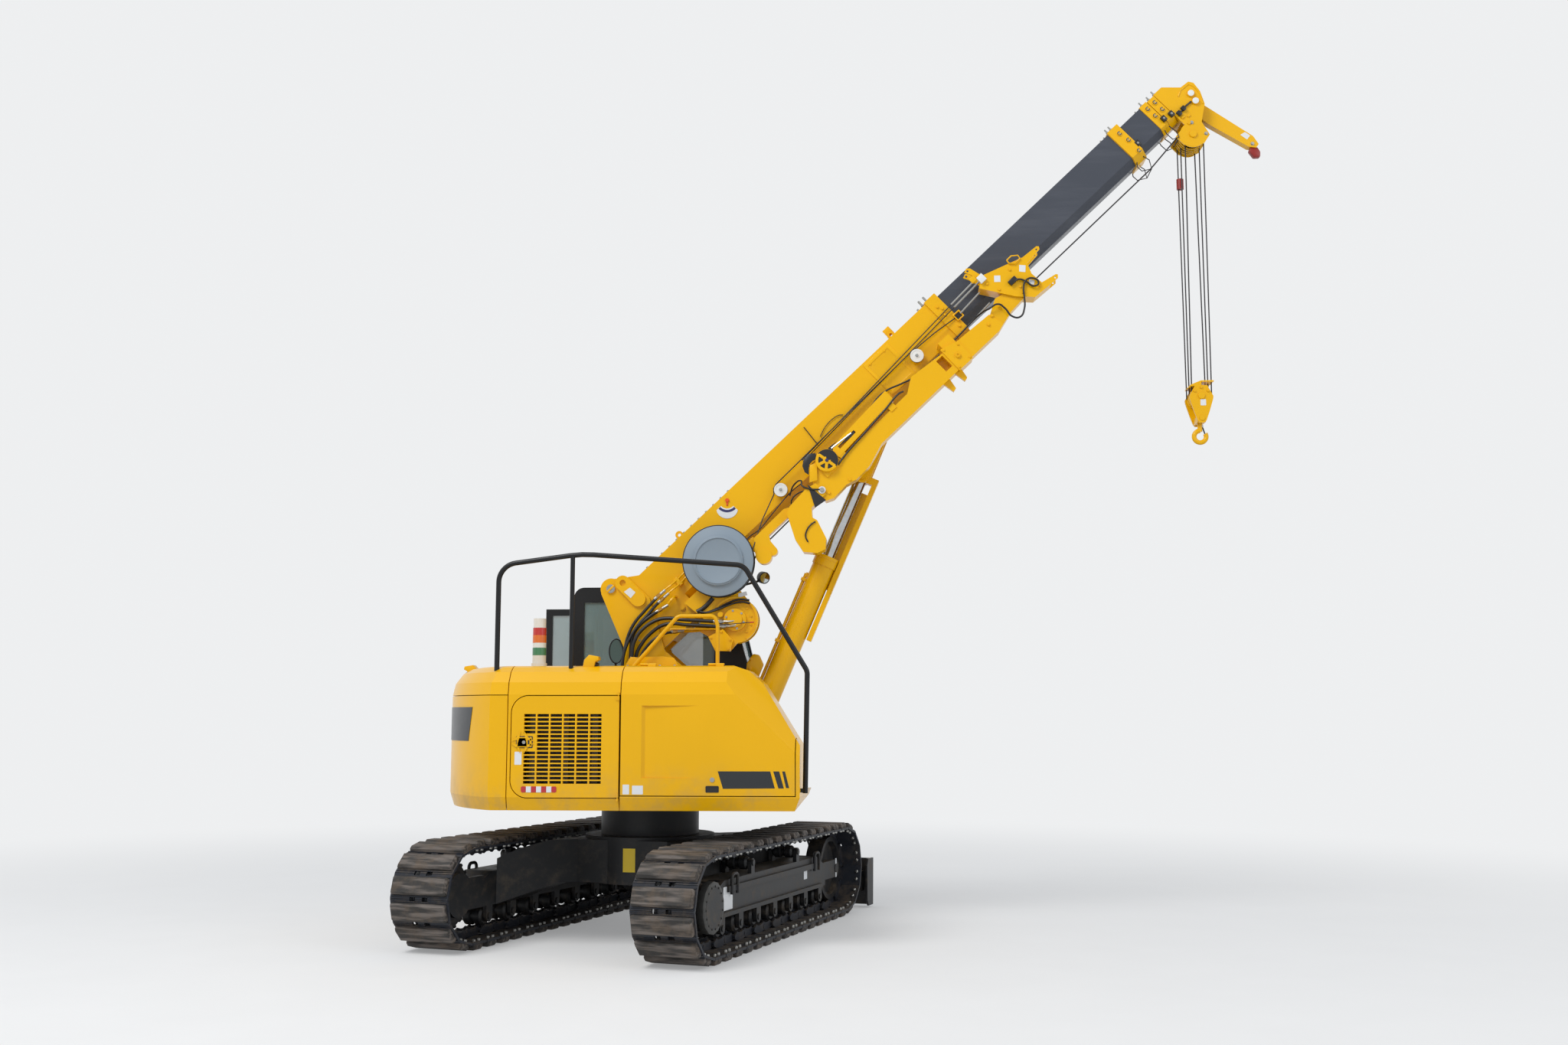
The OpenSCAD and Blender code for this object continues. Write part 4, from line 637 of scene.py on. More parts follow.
def boom_line(points, y):
    """Places on the boom from distances along and above, in millimetres; a third number overrides y."""
    return [on_boom(p[0] / 1000, p[1] / 1000, p[2] / 1000 if len(p) > 2 else y) for p in points]


# %% Joining, copying and riding
def join(things, name="joined"):
    bpy.ops.object.select_all(action="DESELECT")
    for thing in things:
        thing.select_set(True)
    bpy.context.view_layer.objects.active = things[0]
    if len(things) > 1:
        bpy.ops.object.join()
    made = bpy.context.object
    made.name = made.data.name = name
    return made


def weld(name, things, body, angle=35.0):
    """One piece from all that was modelled, which rides on a body."""
    piece = join(things, name)
    bpy.ops.object.shade_smooth_by_angle(angle=math.radians(angle))
    if body:
        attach(piece, body)
    print(name, "rides on", body, "with", len(piece.data.polygons), "faces")
    return piece


def repeat(pattern, places):
    """One mesh with a copy of the pattern at each place."""
    shape = bmesh.new()
    for place in places:
        copy = pattern.data.copy()
        copy.transform(place)
        shape.from_mesh(copy)
        bpy.data.meshes.remove(copy)
    mesh = bpy.data.meshes.new("copies")
    shape.to_mesh(mesh)
    shape.free()
    for finish in pattern.data.materials:
        mesh.materials.append(finish)
    bpy.data.objects.remove(pattern)
    return show("copies", mesh)


def bolt(size, finish):
    """A hexagon head on its washer, on a board."""
    washer = round_piece(size * 1.15, size * 0.2, finish, Matrix(), sides=12)
    head = round_piece(size * 0.85, size * 0.6, finish, Matrix.Translation((0, 0, size * 0.2)),
                       steps=((size * 0.14, size * 0.1),), sides=6)
    return join([washer, head])


def bolts(size, finish, places):
    return repeat(bolt(size, finish), places)


# %% [markdown]
# ## Small finishes for the added pieces
#
# Hoses are dull black rubber with a faint crimp near their ends, fittings are zinc plated or brass, and the
# signs are plain plates: their places are kept and nothing is written on them.

# %% Finishes of hoses, fittings and signs
hose_rubber = make_plain("hose_rubber", linear(22, 21, 22), 0.42, 0.0, 60.0, 0.3)
brass = make_plain("brass_fitting", linear(190, 150, 84), 0.3, 0.85, 80.0, 0.2)
label_white = make_plain("label_white", linear(222, 224, 226), 0.32, 0.0, 14.0, 0.05, 0.0001)
label_dark = make_plain("label_dark", linear(34, 38, 42), 0.3, 0.0, 14.0, 0.12, 0.0001)
label_yellow = make_plain("label_yellow", linear(246, 210, 22), 0.35, 0.0, 14.0, 0.08, 0.0001)
dial_blue = make_plain("dial_blue", linear(44, 44, 96), 0.35, 0.0, 14.0, 0.1, 0.0001)
pointer_orange = make_plain("pointer_orange", linear(226, 86, 20), 0.4, 0.0, 20.0, 0.15)
reflector_red = make_plain("reflector_red", linear(196, 22, 30), 0.2, 0.0, 400.0, 0.3, 0.0004, Coat_Weight=0.6)
lens_black = make_plain("lens_black", linear(12, 13, 16), 0.08, 0.0, 20.0, 0.2, 0.0, Coat_Weight=0.8)
mirror_face = make_plain("mirror_face", linear(196, 204, 206), 0.06, 1.0, 4.0, 0.08, 0.0)
mirror_dark = make_plain("mirror_dark", linear(84, 98, 92), 0.10, 0.9, 4.0, 0.2, 0.0)
radiator_grey = make_plain("radiator_grey", linear(120, 118, 112), 0.5, 0.4, 30.0, 0.3)
pad_black = make_plain("pad_black", linear(24, 24, 26), 0.35, 0.0, 40.0, 0.2)


def label(outline, thickness, matrix, finish=label_white):
    """A thin plate with sharp edges and nothing on it."""
    return plate(outline, thickness, finish, matrix, 0.0)


# %% [markdown]
# ## The right housing's fittings
#
# The grille door has a paddle latch in a shallow recess, a small sign under it and a strip of red and white
# reflectors. They are thin parts on a flat panel, so each is an outline on a board laid on the panel, raised or
# sunk by an inset and an extrude. They ride on the door, because they swing with it.

# %% Latch, sign and reflectors of the grille door
PANEL = body_side(-1.245)
latch = [
    plate(rounded(-0.857, 1.520, -0.728, 1.610, 0.006), 0.0025, label_dark, PANEL),
    plate(rounded(-0.850, 1.526, -0.766, 1.602, 0.006), 0.008, yellow_paint, PANEL, 0.002,
          ((0.007, -0.003), (0.012, 0.002))),
    block((-0.752, 1.528, 0.0), (-0.735, 1.602, 0.007), yellow_paint, PANEL),
    round_piece(0.013, 0.011, zinc, facing((-0.795, -1.247, 1.564), (0, -1, 0)),
                ((0.003, -0.003), (0.004, 0.002)), 20),
    label(rounded(-0.866, 1.394, -0.812, 1.492, 0.004), 0.0015, PANEL),
]
for i in range(7):
    x0 = -0.812 + 0.0391 * i
    latch.append(plate(rounded(x0, 1.187, x0 + 0.0385, 1.232, 0.012 if i in (0, 6) else 0.001), 0.003,
                       label_white if i % 2 else reflector_red, PANEL, 0.0))
weld("grille_fittings", latch, "grille_door")

# %% Radiator core and uprights behind the grille
core_side = body_side(-1.10)
core = [block((-0.80, 1.20, 0.0), (-0.17, 1.84, 0.03), engine_dark, core_side)]
fin = block((-0.80, -0.002, 0.03), (-0.17, 0.002, 0.036), radiator_grey, None, 0.0)
core.append(repeat(fin, [core_side @ Matrix.Translation((0, 1.22 + 0.0125 * i, 0)) for i in range(49)]))
for x in (-0.775, -0.52, -0.29):
    core.append(block((x, 1.19, 0.036), (x + 0.05, 1.85, 0.055), radiator_grey, core_side))
weld("radiator_core", core, "upper")

# %% Signs, stripes, lock and handle of the front door
door = [
    label(rounded(-0.033, 1.174, 0.017, 1.247, 0.003), 0.0012, PANEL),
    label(rounded(0.039, 1.174, 0.122, 1.240, 0.003), 0.0012, PANEL),
    label([(0.690, 1.348), (0.730, 1.218), (1.122, 1.222), (1.087, 1.348)], 0.0015, PANEL, label_dark),
    label([(1.110, 1.348), (1.149, 1.222), (1.190, 1.222), (1.155, 1.348)], 0.0015, PANEL, label_dark),
    label([(1.178, 1.348), (1.207, 1.225), (1.230, 1.225), (1.199, 1.348)], 0.0015, PANEL, label_dark),
    plate(rounded(0.598, 1.190, 0.698, 1.239, 0.008), 0.004, black_rubber, PANEL, 0.0, ((0.007, -0.003),)),
    round_piece(0.018, 0.005, zinc, facing((0.648, -1.245, 1.284), (0, -1, 0)),
                ((0.004, 0.002), (0.006, -0.003)), 24),
]
weld("front_door_fittings", door, "front_door")

# %% [markdown]
# ## The tail plate
#
# A long dark plate follows the round tail. A flat grid takes its outline, gets its thickness from Solidify and is
# then wrapped round an upright cylinder by moving its vertices, so that it touches the tail everywhere.

# %% A plate bent round an upright cylinder
def bent_plate(columns, outline, thickness, radius, lift, finish, fore=Vector((1, 0, 0)), left=Vector((0, 1, 0))):
    """Stands behind the Z axis. The outline turns the grid's two shares into a run round it and a height."""
    bent = fresh(bpy.ops.mesh.primitive_grid_add, x_subdivisions=columns, y_subdivisions=1, size=1.0)
    for vertex in bent.data.vertices:
        vertex.co = (*outline(vertex.co.x, vertex.co.y + 0.5), 0.0)
    apply_modifier(bent, "SOLIDIFY", thickness=thickness, offset=1.0)
    for vertex in bent.data.vertices:
        angle, reach = vertex.co.x / radius, radius + lift + vertex.co.z
        vertex.co = UP * vertex.co.y - fore * reach * math.cos(angle) - left * reach * math.sin(angle)
    return settle(bent, finish)


# %% Tail plate, a little longer at its top
TAIL_RADIUS, PLATE_FOOT, PLATE_HIGH = 1.64, 1.570, 0.261


def tail_outline(across, high):
    return 2 * (1.10 + 0.06 * high) * across, PLATE_FOOT + PLATE_HIGH * high


tail_plate = bent_plate(48, tail_outline, 0.004, TAIL_RADIUS, -0.0005, label_dark)
weld("tail_plate", [tail_plate], "upper")

# %% [markdown]
# ## Cameras, mirror and foot plate on the upper body
#
# Two small cameras sit under yellow hoods on the body's edge, and a round mirror stands beside the cab. Each
# hood is an outline extruded across, open under its brow, with a dark lens set in it.

# %% Camera hoods, one behind and one at the side
hood_outline = [(-0.062, -0.020), (-0.050, 0.045), (-0.012, 0.085), (0.060, 0.072), (0.066, 0.048), (0.036, 0.030),
                (0.026, -0.020)]
cameras = []
for place, out in (((-1.535, 0.0, 2.105), Vector((-1, 0, 0))), ((-0.325, -1.030, 2.150), Vector((1, 0, 0)))):
    stand = board(Vector(place), out, UP)
    cameras.append(plate(hood_outline, 0.10, yellow_paint, stand @ Matrix.Translation((0, 0, -0.05)), 0.004))
    lens = Vector(place) + out * 0.022 + UP * 0.014
    aim = facing(lens, out - UP * 0.45)
    cameras.append(round_piece(0.021, 0.034, pad_black, aim, ((0.005, -0.006), (0.004, 0.002)), 24))
    cameras.append(round_piece(0.012, 0.030, lens_black, aim, ((0.004, 0.003),), 20))
weld("camera_hoods", cameras, "upper")

# %% Round mirror on its bent stalk
mirror_at = Vector((-0.324, 0.10, 2.308))


def oval(wide, high):
    turns = [2 * math.pi * i / 32 for i in range(32)]
    return [(wide * math.cos(a), high * math.sin(a)) for a in turns]


MIRROR_OUT = (0.15, -1, 0.05)
MIRROR_FRONT = mirror_at + Vector((0.003, -0.0185, 0.001))
mirror = [
    plate(oval(0.064, 0.108), 0.024, pad_black, facing(mirror_at, MIRROR_OUT), 0.004, ((0.010, -0.005),)),
    plate(oval(0.053, 0.097), 0.002, mirror_dark, facing(MIRROR_FRONT, MIRROR_OUT), 0.0),
    tube([mirror_at + Vector((0, 0.01, -0.07)), Vector((-0.33, 0.11, 2.20)), Vector((-0.30, 0.14, 2.05)),
          Vector((-0.30, 0.16, 1.345))], 0.009, pad_black),
]
weld("round_mirror", mirror, "upper")

# %% Foot plate beside the hoses, and the pad under the handrail
foot_side = body_side(-0.566)
foot = [
    plate([(-0.150, 2.140), (-0.092, 2.236), (-0.040, 2.232), (0.165, 2.240), (0.262, 2.228), (0.312, 2.140)],
          0.012, yellow_paint, foot_side, 0.002),
    block((-0.150, 2.149, 0.012), (0.312, 2.161, 0.060), yellow_paint, foot_side),
    bolts(0.011, zinc, [facing((x, -0.60, 2.161), UP) for x in (-0.11, 0.02, 0.15, 0.27)]),
]
foot += [block((x, 2.1495, 0.035), (x + 0.080, 2.159, 0.115), yellow_paint, foot_side) for x in (-0.125, 0.580)]
weld("foot_plate", foot, "upper")

# %% [markdown]
# ## Hoses at the boom's root
#
# Six hoses rise from the deck, bend over the foot pin and end in fittings on the boom's side. They are held at
# both ends, so they are part of the machine and not free cords.

# %% Routes of the hoses, in metres
deck_hoses = [
    (0.013, [(-0.205, -0.300, 1.50), (-0.208, -0.300, 1.90), (-0.204, -0.300, 2.199), (-0.190, -0.294, 2.284),
             (-0.160, -0.290, 2.420), (-0.108, -0.288, 2.528), (-0.024, -0.288, 2.628), (0.034, -0.288, 2.692),
             (0.0760, -0.288, 2.736)]),
    (0.013, [(-0.170, -0.335, 1.50), (-0.185, -0.335, 1.90), (-0.196, -0.330, 2.210), (-0.176, -0.322, 2.315),
             (-0.130, -0.316, 2.420), (-0.068, -0.305, 2.516), (0.012, -0.292, 2.606), (0.064, -0.288, 2.668),
             (0.107, -0.288, 2.712)]),
    (0.015, [(-0.120, -0.300, 1.50), (-0.130, -0.300, 1.90), (-0.133, -0.302, 2.294), (-0.119, -0.304, 2.421),
             (-0.067, -0.300, 2.505), (0.020, -0.292, 2.580), (0.090, -0.288, 2.628)]),
    (0.015, [(-0.100, -0.340, 1.50), (-0.110, -0.340, 1.95), (-0.117, -0.340, 2.293), (-0.098, -0.340, 2.375),
             (-0.040, -0.336, 2.465), (0.085, -0.330, 2.548), (0.180, -0.340, 2.562), (0.277, -0.352, 2.552),
             (0.420, -0.352, 2.542), (0.561, -0.352, 2.534)]),
    (0.015, [(-0.070, -0.310, 1.50), (-0.075, -0.310, 1.95), (-0.086, -0.310, 2.260), (-0.040, -0.312, 2.356),
             (0.043, -0.318, 2.448), (0.138, -0.335, 2.506), (0.234, -0.350, 2.518), (0.309, -0.352, 2.508),
             (0.420, -0.352, 2.502), (0.582, -0.352, 2.492)]),
    (0.011, [(-0.040, -0.340, 1.50), (-0.042, -0.340, 1.95), (-0.048, -0.345, 2.230), (0.000, -0.348, 2.322),
             (0.090, -0.345, 2.405), (0.160, -0.310, 2.440), (0.215, -0.288, 2.452)]),
]
hoses = [tube(points, radius, hose_rubber) for radius, points in deck_hoses]
deck_bundle = weld("deck_hoses", hoses, None, 60)
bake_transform(deck_bundle)

# %% Fittings, pipes and the block that the hoses leave
fitting = round_piece(0.017, 0.030, brass, Matrix(), ((0.003, 0.010),), 6)
collar = round_piece(0.015, 0.024, zinc, Matrix.Translation((0, 0, -0.024)), (), 20)
long_collar = round_piece(0.0125, 0.050, zinc, Matrix.Translation((0, 0, 0.040)), ((0.003, 0.004),), 20)
fitting = join([fitting, collar, long_collar])
ends = [((0.076, -0.288, 2.740), (0.75, 0.0, 0.66)), ((0.107, -0.288, 2.712), (0.75, 0.0, 0.66)),
        ((0.090, -0.288, 2.628), (0.86, 0.0, 0.50)), ((0.215, -0.288, 2.452), (1.0, 0.0, 0.1))]
root = [
    repeat(fitting, [facing(place, out) for place, out in ends]),
    tube(boom_line([(300, -322, -288), (372, -330, -286), (430, -332, -262), (520, -322), (660, -300)], -0.214),
         0.008, yellow_paint),
    tube(boom_line([(300, -364, -288), (372, -370, -286), (430, -372, -262), (540, -356), (680, -336)], -0.214),
         0.008, yellow_paint),
    tube(boom_line([(262, -430, -288), (318, -424, -287), (342, -421, -262), (346, -420, -190)], -0.288), 0.010,
         yellow_paint),
    tube(boom_line([(205, -690, -288), (262, -742, -290), (330, -790, -300), (392, -812, -318)], -0.288), 0.010,
         yellow_paint),
    block((0.430, -0.385, 0.0), (0.470, -0.310, 0.070), yellow_paint, boom_side(-0.190)),
    round_piece(0.024, 0.012, yellow_paint, on_side(-0.196, 0.324, -0.527),
                ((0.006, 0.006), (0.004, 0.004)), 24),
    label([(0.068, -0.306), (0.143, -0.302), (0.144, -0.340), (0.069, -0.339)], 0.0012, boom_side(-0.1965)),
]
weld("boom_root_fittings", root, "boom")
outlet = [block((-0.235, 1.42, 0.0), (-0.02, 1.51, 0.10), chassis_paint, body_side(-0.2655)),
          repeat(round_piece(0.02, 0.02, zinc, Matrix(), ((0.004, 0.012),), 6),
                 [facing((x, y, 1.51), UP) for x, y in ((-0.205, -0.30), (-0.17, -0.335), (-0.12, -0.30),
                                                        (-0.10, -0.34), (-0.07, -0.31), (-0.04, -0.34))])]
weld("hose_outlet", outlet, "upper")

# %% Signs and pin on the tower
pin_side = boom_side(-0.254)
tower = [
    label([(0.063, -0.098), (0.124, -0.106), (0.131, -0.168), (0.070, -0.176)], 0.0015, boom_side(-0.2665)),
    round_piece(0.036, 0.006, zinc, pin_side, ((0.006, 0.003), (0.014, -0.003)), 32),
    block((-0.040, -0.008, 0.005), (0.040, 0.008, 0.012), yellow_paint, pin_side),
    bolts(0.008, zinc, [facing((-0.10 + 0.03 * i, -0.242, 2.42 - 0.035 * i), (0, -1, 0)) for i in range(2)]),
]
weld("tower_fittings", tower, "upper")

# %% [markdown]
# ## The winch
#
# A hydraulic winch is a drum between two plates. The hoses reach its motor through short chrome ends, a square
# cover hides its brake, and the rope lies on its drum in turns. One turn of rope is modelled as a ring, and the
# winding is a row of copies, because the turns lie side by side.

# %% Rope on the drum
WINCH = (0.578, -0.915)
TURN_STEP = 0.01528
turn = ring(0.1005, 0.0078, rope_steel)
winch_axis = on_side(-0.210, *WINCH)
wound = [repeat(turn, [winch_axis @ Matrix.Translation((0, 0, -0.0535 + TURN_STEP * i)) for i in range(8)])]
weld("wound_rope", wound, "winch_drum", 60)

# %% Motor hoses, brake cover bolts and fittings on the winch
WINCH_PLATE = -0.3005
chrome_end = join([round_piece(0.017, 0.045, zinc, Matrix(), ((0.003, 0.006),), 20),
                   round_piece(0.019, 0.022, zinc, Matrix.Translation((0, 0, 0.05)), ((0.004, 0.012),), 6)])
winch = [
    repeat(chrome_end, [facing((0.556, -0.352, 2.534), (1, 0, -0.02)), facing((0.577, -0.352, 2.492), (1, 0, 0))]),
    tube([(0.64, -0.352, 2.533), (0.70, -0.352, 2.533), (0.735, -0.345, 2.54)], 0.010, zinc),
    tube([(0.66, -0.352, 2.492), (0.72, -0.352, 2.497), (0.75, -0.345, 2.51)], 0.010, zinc),
    tube([(0.60, -0.372, 2.505), (0.72, -0.372, 2.512), (0.86, -0.368, 2.524)], 0.0035, hose_rubber),
    round_piece(0.0055, 0.035, reflector_red, facing((0.858, -0.368, 2.524), (1, 0, 0.05)), (), 12),
    block((0.20, 2.466, 0.0), (0.59, 2.474, 0.07), yellow_paint, body_side(-0.318)),
    bolts(0.011, yellow_paint, [on_side(-0.362, WINCH[0] + u, WINCH[1] + v) for u, v in (
        (-0.245, 0.025), (-0.150, 0.002), (-0.142, -0.095), (-0.205, -0.140), (-0.272, -0.072))]),
    bolts(0.010, yellow_paint, round_places(on_side(WINCH_PLATE, *WINCH), 0.135, range(-90, 120, 30))),
    bolts(0.008, zinc, round_places(on_side(-0.336, *WINCH), 0.075, range(0, 360, 60))),
    round_piece(0.026, 0.02, yellow_paint, on_side(WINCH_PLATE, 0.52, -0.80), ((0.005, 0.012),), 24),
    round_piece(0.018, 0.03, zinc, on_side(WINCH_PLATE, 0.47, -0.83), ((0.004, 0.012),), 6),
    label([(0.724, -0.800), (0.745, -0.772), (0.806, -0.806), (0.792, -0.836)], 0.0015, boom_side(WINCH_PLATE)),
]
weld("winch_fittings", winch, "boom")

# %% Hoses to the winch's lobe, and the strap under the reel
lobe = [
    tube(boom_line([(393, -640, -280), (436, -700), (518, -741), (630, -776), (713, -815), (775, -880)], -0.325),
         0.009, hose_rubber),
    tube(boom_line([(400, -640, -300), (450, -712), (540, -760), (640, -800), (720, -850), (760, -905)], -0.335),
         0.008, hose_rubber),
    tube(boom_line([(567, -655), (500, -662), (445, -660), (393, -647)], -0.300), 0.019, hose_rubber),
]
weld("lobe_hoses", lobe, "boom", 60)

# %% [markdown]
# ## The cable reel
#
# The reel pays out the thin cable that runs to the boom's head. Its face is a pressed steel dish: a round piece
# whose face is worked outwards by insets and extrudes, like the press would step it.

# %% Face of the reel
REEL = (0.812, -0.475)
REEL_RADIUS = 0.294
reel_front = on_side(-0.4065, *REEL)
reel = [
    round_piece(REEL_RADIUS, 0.0035, reel_paint, reel_front,
                ((0.084, 0.004), (0.006, 0.018), (0.012, 0.006), (0.006, -0.008)), 72, 0.001),
    bolts(0.008, zinc, round_places(reel_front, 0.199, range(150, 326, 35), 0.008)),
]
weld("reel_face", reel, "cable_reel")
rim = [ring(REEL_RADIUS, 0.0045, black_rubber, on_side(y, *REEL), 72) for y in (-0.4075, -0.3165)]
weld("reel_rim", rim, "cable_reel", 60)

# %% Cable from the reel round the guide discs to the front of the base
cable_runs = [
    (0.0050, -0.228, [(1010, -640, -372), (1309, -466, -300), (1532, -368, -241), (1562, -332, -241),
                      (1604, -318, -241)]),
    (0.0050, -0.241, [(1604, -318), (2400, -304), (3186, -292)]),
    (0.0050, -0.241, [(3186, -292), (3250, -300), (3450, -312), (3706, -341, -210)]),
    (0.0045, -0.216, [(1900, -318), (2500, -292), (3100, -262), (3735, -231)]),
    (0.0045, -0.222, [(1900, -335), (2500, -310), (3100, -290), (3735, -265)]),
    (0.0050, -0.236, [(1010, -548, -372), (1107, -500, -330), (1245, -498), (1390, -480), (1552, -459),
                      (1660, -452), (1760, -470, -300)]),
    (0.0040, -0.200, [(2110, -122), (2092, -307)]),
    (0.0035, -0.200, [(2153, -277), (2190, -262), (2251, -244), (2330, -240), (2394, -254), (2420, -276)]),
]
cables = [tube(boom_line(points, y), radius, hose_rubber, len(points) > 5) for radius, y, points in cable_runs]
weld("boom_side_cables", cables, "boom", 60)

# %% [markdown]
# ## Guide discs, wheel and dial on the boom's side
#
# Round parts again: a cylinder, then insets and extrudes on its face. The wheel is two halves, one yellow with
# three windows and one black, so its windows are short plates in the colour of the dark behind them.

# %% Rims and hubs of the guide discs
discs = []
for along, above in ((1.599, -0.381), (3.211, -0.351)):
    face = on_side(-0.2515, along, above)
    discs.append(round_piece(0.0565, 0.003, white_plastic, face,
                             ((0.012, -0.006), (0.014, 0.003), (0.010, 0.004), (0.006, -0.005)), 48))
    discs.append(round_piece(0.058, 0.006, black_rubber, on_side(-0.236, along, above), (), 48))
    discs.append(bolts(0.011, zinc, [on_side(-0.2525, along, above)]))
weld("guide_disc_faces", discs, "boom")

# %% Wheel at the jib's rear end
web_side = boom_side(-0.4195)
hub = on_side(-0.437, 2.032, -0.496)
wheel = [
    round_piece(0.093, 0.003, pad_black, hub, ((0.010, 0.002),), 48),
    plate(ring_part(0.071, 0.0945, 98, 284, 20), 0.012, yellow_paint, hub, 0.002),
    plate(ring_part(0.001, 0.032, 60, 320, 16), 0.012, yellow_paint, hub, 0.002),
    bolts(0.013, dial_blue, [hub @ Matrix.Translation((0, 0, 0.010))]),
]
for turn_by in (101, 165, 222, 281):
    wheel.append(block((0.020, -0.012, 0.0), (0.082, 0.012, 0.011), yellow_paint,
                       hub @ Matrix.Rotation(math.radians(turn_by), 4, "Z"), 0.002))
wheel.append(plate([(2.008, -0.384), (1.959, -0.351), (1.900, -0.354), (1.854, -0.388), (1.832, -0.439),
                    (1.842, -0.480), (1.872, -0.446), (1.905, -0.420), (1.945, -0.415), (1.985, -0.430)], 0.012,
                   pad_black, boom_side(-0.421), 0.003))
wheel.append(plate([(1.905, -0.425), (1.960, -0.452), (1.862, -0.560), (1.800, -0.528)], 0.010, yellow_paint,
                   web_side, 0.003))
weld("jib_wheel", wheel, "boom")

# %% Angle dial with its pointer
dial_at = on_side(-0.1915, 1.216, -0.124) @ Matrix.Rotation(-BOOM_ANGLE, 4, "Z")
HALF_SWING, DOWN = 47, 270
sweep = [DOWN + HALF_SWING * (i / 10 - 1) for i in range(21)]
fan = [polar(0.070, a) for a in reversed(sweep)]
fan += [polar(0.154 - 0.031 * ((a - DOWN) / HALF_SWING) ** 2, a) for a in sweep]
dial = [
    label(fan, 0.0015, dial_at),
    plate(ring_part(0.081, 0.102, 224, 316, 16), 0.0022, dial_blue, dial_at, 0.0),
    plate([(-0.006, -0.046), (0.006, -0.046), (0.009, 0.0), (-0.009, 0.0)], 0.005, pointer_orange, dial_at, 0.001),
    round_piece(0.017, 0.009, pointer_orange, dial_at, ((0.004, 0.002),), 24),
]
weld("angle_dial", dial, "boom")

# %% [markdown]
# ## Ropes and hoses of the stowed jib
#
# A hose lies in the groove beside the jib, loops at the front, and two bright cylinder rods reach from the
# collar to the jib's end plates. All of them are fixed to the boom's base.

# %% Hose beside the jib, with its loop
jib_hoses = [
    (0.008, [(2075, -585, -424), (2160, -568, -420), (2400, -545, -418), (2686, -520, -418), (2850, -503, -416),
             (2890, -512, -400)]),
    (0.008, [(2520, -420, -330), (2640, -398, -270), (2740, -380, -250), (2828, -388, -240), (2951, -431, -236),
             (3073, -468, -236), (3355, -476, -236), (3600, -470, -236), (3780, -462, -250), (3850, -480, -330),
             (3883, -509, -425), (3960, -534, -440), (3975, -603, -446), (3968, -689, -450), (4012, -740, -448),
             (4090, -712, -444), (4160, -640, -440), (4208, -583, -438), (4265, -551, -438), (4320, -576, -440),
             (4325, -640, -444), (4280, -632, -440), (4262, -560, -438), (4240, -510, -436), (4188, -475, -432)]),
    (0.007, [(1833, -640, -425), (1760, -560, -430), (1740, -500, -420), (1764, -467, -400), (1700, -440, -330),
             (1620, -470, -260)]),
    (0.006, [(1614, -796, -425), (1560, -790, -428), (1507, -803, -426), (1470, -830, -426), (1453, -877, -424)]),
    (0.006, [(1560, -560, -300), (1600, -520, -330), (1680, -520, -360), (1740, -560, -400), (1780, -600, -424)]),
]
jib_lines = [tube(boom_line(points, -0.43), radius, hose_rubber) for radius, points in jib_hoses]
weld("jib_hoses", jib_lines, "boom", 60)

